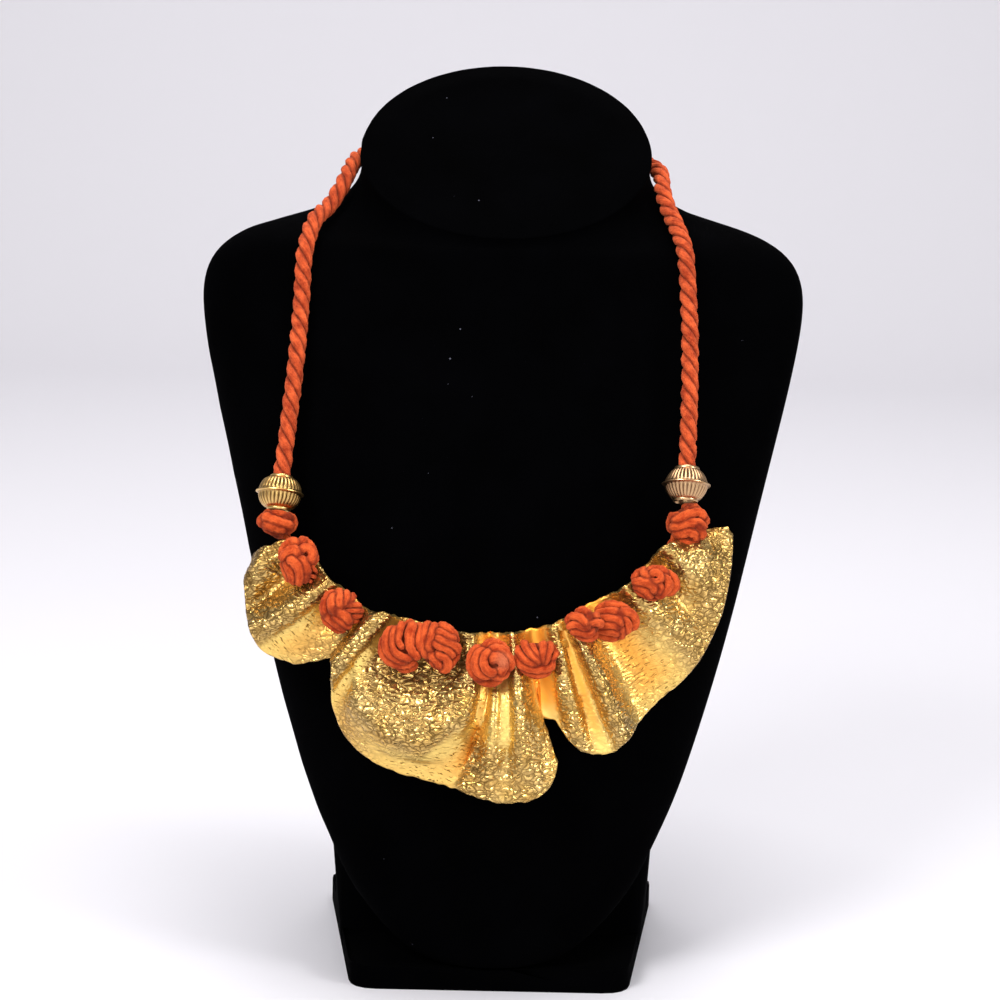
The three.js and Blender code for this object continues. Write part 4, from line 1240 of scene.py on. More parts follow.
    def front(self, middle: np.ndarray, normal: np.ndarray, grain: np.ndarray, relief: np.ndarray,
              from_edge: np.ndarray) -> tuple[np.ndarray, np.ndarray]:
        """Raise the front from the middle surface: its pebbles, its broad lumps and its rolled edge.

        Args:
            middle: the middle surface, whose edge is made to wander.
            normal: the way to the sheet's back.
            grain: how crackled each place is.
            relief: the pebbles' even height.
            from_edge: how far each place lies from the edge.

        Returns:
            The front's points, and the pebbles' height as it varies with the fine lumps.
        """
        broad = lumps(middle, self.lump_size)
        fine = lumps(middle + 1, self.lump_size * self.fine_size)
        height = np.clip(relief * (self.pebble_level + self.pebble_spread * fine), 0, 1)
        roll = 1 - np.sqrt(np.clip(1 - (1 - np.clip(from_edge / self.edge_roll, 0, 1)) ** 2, 0, 1))
        lift = (self.wall / 2 - self.pebble_depth * grain * (1 - height) - roll * self.edge_roll * self.edge_depth
                + self.lump * (self.plain_lumps + (1 - self.plain_lumps) * grain) * (broad + self.fine_share * fine))
        edge_share = np.clip(1 - from_edge / (self.edge_reach * self.edge_roll), 0, 1)
        middle[..., 2] += edge_share * self.rim_wander * fine
        return middle - normal * lift[..., None], height

    def build(self, finish: bpy.types.Material) -> None:
        """Model the bib from a grid: fold it, crackle it, roll its edge and give it its wall.

        Args:
            finish: its material.
        """
        piece = primitive(bpy.ops.mesh.primitive_grid_add, "ruffled_bib",
                          x_subdivisions=self.columns, y_subdivisions=self.rows, size=1)
        rib = np.linspace(0, len(BIB_RIBS) - 1, self.columns + 1)
        down = np.linspace(0, 1, self.rows + 1)
        grain = self.grain(rib, down)
        middle = self.surface(rib, down)
        normal = self.calm(middle, grain)
        skin = self.skin(middle)
        front, height = self.front(middle, normal, grain, self.relief(*skin), self.edge_distance(middle, rib, down))
        piece.data.vertices.foreach_set("co", vertex_order(front).ravel().astype(np.float32))
        piece.data.update()
        hollow, dashed = self.tones(rib, down, grain)
        for name, values in (("grain", grain), ("relief", height), ("hollow", hollow), ("dashed", dashed)):
            point_values(piece, name, vertex_order(values))
        piece.data.uv_layers.remove(piece.data.uv_layers[0])
        point_uvs(piece, "skin", vertex_order(np.stack(skin, axis=-1)))
        apply_modifier(piece, "SOLIDIFY", thickness=self.wall, offset=-1.0, use_even_offset=False)
        smooth_below(piece, self.crisp_above)
        settle(piece, self.frame_matrix())
        dress(piece, finish, "bib")


# The knots


class Strand(NamedTuple):
    """One visible turn of cord: half its width, how far it lies above the knot's core, and its path."""

    half_mm: float
    lift: float
    path: list[tuple[float, float]]


class KnotShape(NamedTuple):
    """A knot's look, with its sizes in millimetres.

    right and above say how far its middle stands from the CAD node's. The turns of cord go from the lowest
    to the highest, and their paths count from the knot's middle, to the right and up, with 1 at its edge.
    """

    node: str
    half_wide: float
    half_high: float
    half_thick: float
    right: float
    above: float
    strands: list[Strand]


KNOT_SHAPES = [
    KnotShape("front_knot_1", 6.9, 9.3, 6.2, 0.6, 0.0, [
        Strand(1.8, 0.0, [(-0.95, 0.1), (-0.85, -0.2), (-0.65, -0.55), (-0.5, -0.9)]),
        Strand(0.8, 0.02, [(0.7, -0.05), (0.9, -0.3), (1.1, -0.5)]),
        Strand(0.8, 0.04, [(0.35, -0.35), (0.7, -0.5), (1.1, -0.62)]),
        Strand(0.8, 0.02, [(0.3, -0.5), (0.6, -0.7), (0.95, -0.88)]),
        Strand(1.9, 0.04, [(-0.75, 0.05), (-0.6, -0.15), (-0.35, -0.5), (-0.25, -1.0)]),
        Strand(1.9, 0.06, [(-0.05, 0.25), (0.3, 0.12), (0.48, -0.2), (0.45, -0.55), (0.3, -0.9)]),
        Strand(2.1, 0.1, [(-0.5, 0.12), (-0.2, 0.05), (0.08, -0.25), (0.12, -0.6), (0.0, -1.0)]),
        Strand(1.9, 0.05, [(0.0, 0.8), (0.4, 1.0), (0.85, 0.7), (1.02, 0.25), (0.8, -0.05)]),
        Strand(1.8, 0.1, [(0.0, 0.35), (0.35, 0.6), (0.68, 0.5), (0.78, 0.2), (0.5, 0.05)]),
        Strand(1.9, 0.06, [(-1.0, 0.05), (-0.8, 0.6), (-0.35, 0.92), (0.1, 0.8)]),
        Strand(2.0, 0.12, [(-0.85, 0.1), (-0.55, 0.4), (-0.15, 0.52), (0.12, 0.3)]),
    ]),
    KnotShape("front_knot_2", 7.8, 7.8, 6.2, 0.4, -0.2, [
        Strand(0.9, 0.0, [(0.35, -0.45), (0.8, -0.5), (1.25, -0.38)]),
        Strand(1.0, 0.03, [(0.3, -0.25), (0.75, -0.25), (1.4, -0.2)]),
        Strand(1.0, 0.05, [(0.25, 0.0), (0.7, 0.02), (1.4, 0.0)]),
        Strand(1.2, 0.05, [(0.2, 0.22), (0.6, 0.3), (1.05, 0.22)]),
        Strand(1.8, 0.02, [(-0.9, -0.2), (-0.65, -0.6), (-0.15, -0.95), (0.3, -1.02)]),
        Strand(1.9, 0.06, [(-0.85, -0.1), (-0.45, -0.35), (-0.1, -0.65), (0.35, -0.9)]),
        Strand(1.5, 0.08, [(-0.35, -0.2), (-0.02, -0.42), (0.25, -0.68), (0.6, -0.7)]),
        Strand(2.0, 0.1, [(-0.5, 0.12), (0.0, -0.05), (0.35, -0.28), (0.5, -0.6)]),
        Strand(1.6, 0.04, [(0.68, 0.85), (0.58, 0.5), (0.3, 0.22)]),
        Strand(1.6, 0.08, [(0.3, 1.0), (0.35, 0.55), (0.18, 0.2)]),
        Strand(1.8, 0.1, [(-0.02, 1.05), (0.0, 0.6), (0.08, 0.1)]),
        Strand(2.2, 0.08, [(-0.2, 1.0), (-0.62, 0.65), (-0.78, 0.15), (-0.6, -0.3)]),
        Strand(1.9, 0.12, [(-0.2, 0.85), (-0.35, 0.45), (-0.3, 0.1), (-0.1, -0.05)]),
    ]),
    KnotShape("front_knot_3", 8.9, 10.0, 6.6, 1.9, 1.0, [
        Strand(1.5, 0.0, [(-0.3, -0.8), (0.2, -0.98), (0.75, -0.85)]),
        Strand(1.6, 0.02, [(0.2, 0.98), (0.6, 1.05), (1.0, 1.0)]),
        Strand(2.3, 0.03, [(-0.6, 0.65), (-0.92, 0.15), (-0.88, -0.35), (-0.4, -0.68), (0.2, -0.76), (0.7, -0.62)]),
        Strand(1.9, 0.07, [(-0.35, 0.9), (-0.65, 0.35), (-0.62, -0.15), (-0.25, -0.48), (0.4, -0.58)]),
        Strand(1.5, 0.1, [(-0.2, 0.8), (-0.35, 0.35), (-0.32, -0.08), (-0.02, -0.36), (0.5, -0.45)]),
        Strand(1.4, 0.12, [(0.05, 0.9), (-0.1, 0.5), (-0.14, 0.2), (0.0, -0.05)]),
        Strand(1.9, 0.12, [(0.5, 0.95), (0.32, 0.5), (0.3, 0.1), (0.45, -0.25), (0.75, -0.42)]),
        Strand(1.8, 0.1, [(0.8, 1.0), (0.72, 0.5), (0.68, 0.05), (0.85, -0.35)]),
    ]),
    KnotShape("front_knot_4", 8.0, 9.7, 6.6, -0.6, 0.3, [
        Strand(1.6, 0.0, [(-0.35, -0.62), (-0.05, -0.85), (0.3, -1.0)]),
        Strand(1.8, 0.03, [(-0.55, 0.0), (-0.42, -0.32), (-0.1, -0.55), (0.12, -0.95)]),
        Strand(1.6, 0.02, [(1.0, 0.05), (0.88, -0.4), (0.6, -0.72), (0.3, -0.92)]),
        Strand(1.8, 0.1, [(-0.1, -0.3), (0.28, -0.4), (0.4, -0.7), (0.15, -0.95)]),
        Strand(1.7, 0.06, [(-0.35, 0.2), (0.05, 0.02), (0.4, -0.12), (0.75, -0.42)]),
        Strand(1.8, 0.1, [(-0.1, 0.38), (0.25, 0.22), (0.65, 0.08), (0.98, -0.2)]),
        Strand(1.8, 0.03, [(-0.05, 0.95), (0.35, 0.82), (0.7, 0.55), (0.9, 0.15)]),
        Strand(1.8, 0.08, [(-0.15, 0.65), (0.2, 0.5), (0.5, 0.32), (0.8, 0.3)]),
        Strand(1.7, 0.07, [(-0.15, 1.0), (-0.3, 0.55), (-0.45, 0.15), (-0.45, -0.2)]),
        Strand(1.8, 0.1, [(-0.5, 1.05), (-0.62, 0.5), (-0.66, 0.0), (-0.55, -0.45)]),
        Strand(1.8, 0.05, [(-0.85, 1.02), (-0.98, 0.5), (-0.98, 0.05), (-0.85, -0.4)]),
    ]),
    KnotShape("front_knot_5", 8.4, 8.3, 6.8, 0.4, -0.2, [
        Strand(2.0, 0.02, [(-0.8, -0.5), (-0.35, -0.92), (0.15, -0.98), (0.6, -0.72)]),
        Strand(1.9, 0.04, [(0.0, -0.45), (0.4, -0.62), (0.85, -0.45)]),
        Strand(2.0, 0.03, [(-0.35, 0.75), (0.05, 0.98), (0.55, 0.85), (0.92, 0.35)]),
        Strand(2.1, 0.05, [(-0.45, 0.85), (-0.85, 0.4), (-0.95, -0.1), (-0.75, -0.55), (-0.35, -0.82)]),
        Strand(1.9, 0.08, [(-0.1, 0.55), (0.3, 0.65), (0.68, 0.45), (0.92, 0.0), (0.8, -0.4)]),
        Strand(1.8, 0.1, [(-0.25, 0.7), (-0.55, 0.35), (-0.62, -0.05), (-0.42, -0.45), (0.1, -0.62)]),
        Strand(2.2, 0.12, [(0.05, 0.28), (0.4, 0.22), (0.58, -0.12), (0.4, -0.5)]),
        Strand(1.7, 0.14, [(0.0, 0.6), (-0.22, 0.3), (-0.26, 0.0), (-0.1, -0.3), (0.25, -0.45)]),
    ]),
    KnotShape("front_knot_6", 8.3, 7.2, 5.8, -0.4, -0.5, [
        Strand(1.9, 0.02, [(-0.85, -0.25), (-0.5, -0.68), (0.0, -0.9), (0.5, -0.82), (0.75, -0.5)]),
        Strand(2.0, 0.08, [(-1.0, 0.35), (-0.8, -0.15), (-0.4, -0.46), (0.1, -0.52), (0.6, -0.42), (0.85, -0.05)]),
        Strand(1.3, 0.03, [(0.45, 0.95), (0.82, 0.95), (1.0, 0.55), (0.85, 0.12), (0.6, -0.2)]),
        Strand(1.6, 0.07, [(0.68, 0.98), (0.62, 0.5), (0.48, 0.1), (0.38, -0.25)]),
        Strand(1.6, 0.1, [(0.32, 0.9), (0.3, 0.4), (0.26, -0.2)]),
        Strand(1.3, 0.05, [(-0.25, 0.85), (-0.1, 0.5), (0.08, 0.15), (0.2, -0.15)]),
        Strand(1.6, 0.1, [(-0.62, 1.0), (-0.4, 0.5), (-0.12, 0.1), (0.2, -0.22)]),
        Strand(1.6, 0.09, [(-0.92, 0.7), (-0.7, 0.25), (-0.38, -0.08), (0.12, -0.25)]),
    ]),
    KnotShape("front_knot_7", 6.8, 6.4, 5.6, 0.9, 0.4, [
        Strand(1.7, 0.0, [(-0.5, -0.6), (0.0, -0.82), (0.45, -0.85), (0.85, -0.6)]),
        Strand(1.8, 0.05, [(-0.85, -0.3), (-0.35, -0.38), (0.1, -0.45), (0.6, -0.35)]),
        Strand(1.5, 0.04, [(0.2, 0.62), (0.6, 0.6), (1.05, 0.68)]),
        Strand(1.7, 0.06, [(0.2, 0.12), (0.65, 0.22), (1.1, 0.1)]),
        Strand(1.8, 0.04, [(-0.5, 0.75), (-0.1, 1.0), (0.25, 0.75), (0.32, 0.25)]),
        Strand(1.8, 0.1, [(-0.95, 0.0), (-0.75, 0.5), (-0.3, 0.5), (0.02, 0.2), (0.12, -0.15)]),
        Strand(1.6, 0.1, [(-0.95, -0.1), (-0.45, 0.08), (-0.05, -0.08), (0.3, -0.1)]),
    ]),
    KnotShape("front_knot_8", 8.6, 7.4, 6.2, -0.1, -0.6, [
        Strand(1.7, 0.0, [(-0.95, -0.65), (-0.5, -0.82), (-0.05, -0.92), (0.25, -0.75)]),
        Strand(1.8, 0.05, [(-1.0, -0.35), (-0.5, -0.42), (0.0, -0.48), (0.25, -0.65)]),
        Strand(1.8, 0.03, [(-0.95, 0.5), (-0.5, 0.9), (0.0, 0.95), (0.5, 0.8), (0.85, 0.45)]),
        Strand(1.8, 0.08, [(-0.95, 0.3), (-0.4, 0.52), (0.05, 0.52), (0.3, 0.35)]),
        Strand(1.8, 0.1, [(-1.0, -0.02), (-0.5, -0.12), (0.0, -0.12), (0.25, -0.3)]),
        Strand(1.8, 0.12, [(-0.8, 0.2), (-0.25, 0.2), (0.18, 0.08), (0.22, -0.15)]),
        Strand(1.7, 0.06, [(0.12, -0.15), (0.38, -0.42), (0.35, -0.85)]),
        Strand(1.8, 0.05, [(0.25, 0.12), (0.52, 0.12), (0.65, -0.2), (0.55, -0.65)]),
        Strand(1.9, 0.09, [(0.1, 0.25), (0.38, 0.5), (0.78, 0.42), (0.98, 0.0), (0.85, -0.45)]),
    ]),
    KnotShape("front_knot_9", 9.1, 5.9, 5.9, 0.3, -0.5, [
        Strand(1.6, 0.02, [(-0.9, -0.3), (-0.6, -0.65), (-0.2, -0.95), (0.2, -0.95)]),
        Strand(1.8, 0.03, [(0.45, 0.9), (0.8, 0.55), (0.98, 0.05), (0.9, -0.4), (0.55, -0.8)]),
        Strand(1.7, 0.06, [(-0.95, -0.15), (-0.6, -0.3), (-0.32, -0.55), (-0.15, -0.9)]),
        Strand(1.8, 0.07, [(0.25, 0.55), (0.55, 0.25), (0.58, -0.2), (0.35, -0.6), (0.1, -0.9)]),
        Strand(1.7, 0.05, [(-0.98, 0.1), (-0.8, 0.6), (-0.55, 0.95), (-0.38, 0.6), (-0.3, 0.15)]),
        Strand(1.8, 0.1, [(-1.0, 0.0), (-0.6, 0.12), (-0.2, 0.02), (0.0, -0.25), (-0.05, -0.6)]),
        Strand(1.4, 0.08, [(0.15, 0.02), (0.22, -0.25), (0.1, -0.6)]),
        Strand(1.7, 0.05, [(-0.4, 0.6), (-0.1, 0.98), (0.32, 0.95), (0.5, 0.5)]),
        Strand(1.5, 0.12, [(-0.22, 0.62), (0.08, 0.66), (0.25, 0.35), (0.05, 0.1), (-0.2, 0.2)]),
    ]),
    KnotShape("end_knot_left", 7.4, 5.2, 5.0, 0.0, 0.4, [
        Strand(1.6, 0.0, [(-0.3, -0.4), (0.0, -0.95), (0.2, -1.35), (0.25, -1.7)]),
        Strand(1.4, 0.02, [(0.25, -0.5), (0.15, -1.0), (-0.05, -1.4), (-0.1, -1.7)]),
        Strand(1.9, 0.0, [(-0.85, -0.1), (-0.5, -0.5), (-0.1, -0.75), (0.35, -0.8)]),
        Strand(2.0, 0.04, [(0.35, 0.45), (0.85, 0.5), (1.04, 0.0), (0.8, -0.5), (0.3, -0.45)]),
        Strand(2.0, 0.05, [(-0.25, 0.6), (-0.7, 0.95), (-1.04, 0.5), (-0.88, 0.0), (-0.4, -0.15)]),
        Strand(1.6, 0.06, [(-0.35, 0.75), (0.1, 0.8), (0.55, 0.6), (0.85, 0.3)]),
        Strand(2.0, 0.08, [(-0.8, -0.05), (-0.35, -0.2), (0.1, -0.4), (0.6, -0.5)]),
        Strand(2.2, 0.12, [(-0.75, 0.65), (-0.3, 0.35), (0.15, 0.1), (0.55, -0.05), (0.85, -0.25)]),
    ]),
    KnotShape("end_knot_right", 7.9, 8.3, 5.5, 1.3, -1.4, [
        Strand(1.5, 0.0, [(-0.25, 1.25), (-0.1, 0.98), (0.15, 0.7)]),
        Strand(1.5, 0.02, [(0.15, 1.3), (0.12, 1.0), (-0.15, 0.7)]),
        Strand(1.8, 0.0, [(-0.75, -0.7), (-0.3, -0.88), (0.15, -0.98), (0.5, -0.85)]),
        Strand(2.0, 0.03, [(-0.95, -0.45), (-0.45, -0.42), (0.0, -0.35), (0.4, -0.5), (0.55, -0.85)]),
        Strand(2.0, 0.04, [(-0.4, 0.45), (-0.92, 0.4), (-1.06, 0.0), (-0.8, -0.35)]),
        Strand(2.1, 0.04, [(-0.05, 0.6), (0.4, 0.98), (0.92, 0.86), (1.06, 0.45), (0.75, 0.08)]),
        Strand(2.2, 0.1, [(-1.0, -0.12), (-0.5, -0.02), (0.0, 0.12), (0.5, 0.08), (0.78, -0.22)]),
        Strand(2.1, 0.12, [(-0.85, 0.22), (-0.4, 0.32), (0.05, 0.55), (0.5, 0.62), (0.8, 0.35)]),
        Strand(1.8, 0.1, [(0.35, 0.1), (0.62, -0.25), (0.62, -0.6)]),
    ]),
]


class LaidTurn(NamedTuple):
    """A turn of cord in its place: the object, its middle line and its radius along the line."""

    piece: bpy.types.Object
    line: np.ndarray
    radii: np.ndarray


@dataclass
class Knots:
    """The wound cord knots, laid turn by turn over a soft core and seated on the bib or under a bead.

    half stands for half a knot's width, thickness and height, in the order of its frame: right, towards the
    chest, up.
    """

    # The core.
    core_share: float = 0.74
    core_shade: float = 0.9
    core_segments: int = 28
    core_rings: int = 18
    # The turns.
    past_edge: float = 1.6
    path_steps: int = 14
    step: float = 0.45 * MM
    least_steps: int = 8
    sides: int = 14
    flatness: float = 0.94
    end_reach: float = 0.16
    end_sink: float = 0.36
    end_taper: float = 0.25
    taper_reach: float = 0.12
    slimness: float = 0.88
    lift_gain: float = 1.35
    swell: float = 0.07
    swell_every: float = 2.1 * MM
    swell_shift: float = 9.0
    crease_shade_reach: float = 0.95 * MM
    hang: float = 0.98
    # The worn patch.
    worn_knot: str = "front_knot_5"
    worn_right: float = 0.45
    worn_front: float = 0.85
    worn_above: float = 0.1
    worn_reach: float = 3.8 * MM

    def on_knot(self, places: np.ndarray, half: np.ndarray, height: np.ndarray) -> np.ndarray:
        """Find points on the knot's rounded body, from places across its front.

        A place within 1 of the middle lies on the front as seen, and one past 1 goes round to the back.

        Args:
            places: the places, to the right and up.
            half: half the knot's sizes.
            height: how far each point stands from the middle, as a share of the body's radius.

        Returns:
            Points in the knot's frame.
        """
        reach = np.linalg.norm(places, axis=1)
        away = np.where(reach < 1, np.arcsin(np.minimum(reach, 1)), math.pi / 2 + (reach - 1) * self.past_edge)
        heading = places / np.maximum(reach, SHORTEST)[:, None]
        ball = np.stack([np.sin(away) * heading[:, 0], -np.cos(away), np.sin(away) * heading[:, 1]], axis=1)
        return ball * height[:, None] * half

    def lay(self, name: str, turn: Strand, half: np.ndarray) -> LaidTurn:
        """Lay one turn of cord over the knot's body, its ends sunk under its neighbours.

        Args:
            name: the turn's name.
            turn: its path and size.
            half: half the knot's sizes.

        Returns:
            The turn in its place.
        """
        places = catmull_rom(np.array(turn.path, dtype=float), self.path_steps)
        radius = turn.half_mm * MM * self.slimness
        share = np.linspace(0, 1, len(places))
        sink = np.clip(1 - np.minimum(share, 1 - share) / self.end_reach, 0, 1) ** 2 * self.end_sink
        cover = 1 + turn.lift * self.lift_gain - radius * self.flatness / float(half[1])
        line = self.on_knot(places, half, cover - sink)
        length = run_of(line)[-1]
        runs = np.linspace(0, length, max(self.least_steps, int(length / self.step)))
        line = at_runs(line, runs)
        taper = np.interp(runs, np.array([0, self.taper_reach, 1 - self.taper_reach, 1]) * length, [1, 0, 0, 1])
        wave = np.sin(runs / self.swell_every + turn.half_mm * self.swell_shift)
        radii = radius * (1 + self.swell * wave - self.end_taper * taper)
        return LaidTurn(strand(name, line, radii, self.sides, unit(line / half**2), self.flatness), line, radii)

    def darken(self, laid: list[LaidTurn]) -> None:
        """Paint shade on each turn where another turn's cord comes close.

        Args:
            laid: the knot's turns.
        """
        for turn in laid:
            places = np.empty(len(turn.piece.data.vertices) * 3, dtype=np.float32)
            turn.piece.data.vertices.foreach_get("co", places)
            places = places.reshape(-1, 3)
            gap = np.full(len(places), self.crease_shade_reach)
            for other in laid:
                if other is not turn:
                    away = np.linalg.norm(places[:, None] - other.line[None], axis=2) - other.radii[None]
                    gap = np.minimum(gap, away.min(axis=1))
            point_values(turn.piece, "crease_shade", np.clip(1 - gap / self.crease_shade_reach, 0, 1))

    def core(self, half: np.ndarray) -> bpy.types.Object:
        """Model the soft core that shows, dark, between the turns.

        Args:
            half: half the knot's sizes.

        Returns:
            Model the soft core that shows between the turns, dark all over with painted shade.
        """
        core = primitive(bpy.ops.mesh.primitive_uv_sphere_add, "knot_core",
                         segments=self.core_segments, ring_count=self.core_rings, radius=1)
        core.scale = half * self.core_share
        settle(core)
        core.data.uv_layers[0].name = "strand"
        # Painted shade: the whole core is marked for the darker colour, so that the gaps between the turns read as
        # shadow.
        point_values(core, "crease_shade", [self.core_shade] * len(core.data.vertices))
        return core

    def rub(self, knot: bpy.types.Object, half: np.ndarray) -> None:
        """Mark the pale patch that wear has left on one knot's front.

        Args:
            knot: the knot, still in its own frame.
            half: half its sizes.
        """
        spot = Vector(half * (self.worn_right, -self.worn_front, self.worn_above))
        point_values(knot, "worn", [max(0.0, 1 - (vertex.co - spot).length / self.worn_reach)
                                    for vertex in knot.data.vertices])

    def build_one(self, shape: KnotShape, turned: Matrix, finish: bpy.types.Material) -> None:
        """Wind one knot over the solid that it stands for.

        Args:
            shape: the knot's look.
            turned: how the bib leans.
            finish: the cord's material.
        """
        half = np.array([shape.half_wide, shape.half_thick, shape.half_high]) * MM
        low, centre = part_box(shape.node)[0], middle_of(shape.node)
        if shape.node.startswith("front"):
            centre.y = low.y + half[1]
        else:
            centre.z = low.z + half[2] * self.hang
        centre += Vector((shape.right, 0, shape.above)) * MM
        laid = [self.lay(f"{shape.node}_turn", turn, half) for turn in shape.strands]
        self.darken(laid)
        knot = joined("wound_" + shape.node, [*(turn.piece for turn in laid), self.core(half)])
        if shape.node == self.worn_knot:
            self.rub(knot, half)
        settle(knot, Matrix.Translation(centre) @ turned)
        dress(knot, finish, shape.node)

    def build(self, finish: bpy.types.Material, bib: Bib) -> None:
        """Wind every knot.

        Args:
            finish: the cord's material.
            bib: the bib that they sit on.
        """
        turned = bib.frame_matrix().to_3x3().to_4x4()
        for shape in KNOT_SHAPES:
            self.build_one(shape, turned, finish)


# The ropes and the lace

LEFT_ROPE_POINTS_MM = [
    (-73.9, -37.6, 171.1), (-73.3, -34.6, 178), (-72.3, -30, 188), (-71.2, -24.8, 199), (-70.3, -18.4, 210),
    (-69.6, -11.4, 221), (-69.2, -4, 232.4), (-68.8, 2.4, 244.8), (-66.3, 13.2, 254.6), (-61.6, 24.6, 258.8),
    (-57, 33.2, 266), (-54.8, 42, 270.6), (-52.2, 51.8, 273), (-46, 60.9, 274), (-37, 67.8, 275),
    (-27.3, 73.6, 275.7), (-20, 76.8, 275.9), (-14, 77.6, 276), (-7.5, 77.7, 276),
]
RIGHT_ROPE_POINTS_MM = [
    (63, -41.2, 177.6), (63.3, -37.8, 185), (63.6, -33, 195), (63.9, -27, 205), (64, -20.2, 216),
    (63.8, -12.6, 227), (63.3, -4.6, 237.6), (62.5, 3, 247.6), (60.2, 13.6, 254.3), (57.4, 23.6, 259.4),
    (55.4, 32.8, 265.6), (55, 42, 269.8), (52.2, 52.2, 271.6), (45.6, 61, 273.2), (37, 67.8, 274.6),
    (27.3, 73.6, 275.6), (20, 76.8, 275.9), (14, 77.6, 276), (7.5, 77.7, 276),
]


@dataclass
class TwistedRope:
    """A rope of three plies along a route."""

    name: str
    node: str
    route_mm: list[tuple[float, float, float]]
    diameter: float = 6.2 * MM
    lay_length: float = 18 * MM
    lay: Lay = Lay.S
    plies: int = 3
    ply_share: float = 0.53
    ply_flatness: float = 0.94
    route_steps: int = 12
    steps_per_lay: int = 26
    sides: int = 12
    path_step: float = 4 * MM

    def smooth_route(self) -> np.ndarray:
        """The route as a smooth line, in metres."""
        return catmull_rom(np.array(self.route_mm, dtype=float) * MM, self.route_steps)

    def heading(self) -> Vector:
        """Which way the rope sets out."""
        line = self.smooth_route()
        return Vector(line[1] - line[0]).normalized()

    def build(self, finish: bpy.types.Material) -> None:
        """Args:
            finish: the cord's material.
        """
        line = evenly(self.smooth_route(), self.lay_length / self.steps_per_lay)
        across, beside = carried_frames(line)
        along = run_of(line)
        ply_radius = self.diameter * self.ply_share / 2
        helix_radius = self.diameter / 2 - ply_radius
        plies = []
        for ply in range(self.plies):
            angle = self.lay.value * along / self.lay_length * TURN + ply * TURN / self.plies
            outward = np.cos(angle)[:, None] * across + np.sin(angle)[:, None] * beside
            plies.append(strand(f"{self.name}_ply", line + outward * helix_radius, ply_radius, self.sides,
                                outward, self.ply_flatness))
        rope = dress(joined(self.name, plies), finish, self.node)


@dataclass
class Lace:
    """The thinner cord behind the bib, from end knot to end knot past the back of every front knot."""

    diameter: float = 3.6 * MM
    lay_length: float = 11 * MM
    steps_per_lay: int = 16
    sides: int = 8
    front_knots: int = 9
    gap: float = 0.3 * MM
    seat: float = 0.4 * MM
    start_aside: float = 2.4 * MM
    start_below: float = 5.5 * MM
    over_aside: float = 3 * MM
    over_curl: float = 0.6
    over_drop: float = 0.05
    end_offset: tuple[float, float, float] = (-0.6 * MM, 2.2 * MM, 0.8 * MM)

    def route(self, bib: Bib) -> np.ndarray:
        """Work out the lace's points from the knots that it passes.

        Args:
            bib: the bib that it runs behind.

        Returns:
            The points, in metres.
        """
        to_bib = bib.frame_matrix().inverted()
        behind = bib.wall / 2 + self.gap + self.diameter / 2 + self.seat
        left_knot, right_knot = (to_bib @ middle_of(node) for node in ("end_knot_left", "end_knot_right"))
        points = [left_knot + Vector((self.start_aside, behind, -self.start_below))]
        for number in range(1, self.front_knots + 1):
            knot = to_bib @ middle_of(f"front_knot_{number}")
            points.append(Vector((knot.x, bib.curl(knot.x) + behind, knot.z)))
        points.append(Vector((right_knot.x - self.over_aside, bib.wrap * self.over_curl + behind,
                              -self.over_drop * bib.drop)))
        points.append(right_knot + Vector(self.end_offset))
        return np.array([tuple(bib.frame_matrix() @ point) for point in points])

    def build(self, finish: bpy.types.Material, bib: Bib) -> None:
        """Args:
            finish: the cord's material.
            bib: the bib that it runs behind.
        """
        TwistedRope("back_lace", "lace_cord", (self.route(bib) / MM).tolist(), diameter=self.diameter,
                    lay_length=self.lay_length, steps_per_lay=self.steps_per_lay, sides=self.sides).build(finish)


# The beads and the clasp


class ProfilePoint(NamedTuple):
    """A point of a bead's outline: how far out and up it lies, and the flutes' depth there as a share."""

    out: float
    up: float
    flute: float

    def key(self) -> tuple[float, float]:
        """The point's place to a hundredth of a millimetre, by which the spun bead's vertices are known."""
        return round(self.out / MM, 2), round(self.up / MM, 2)


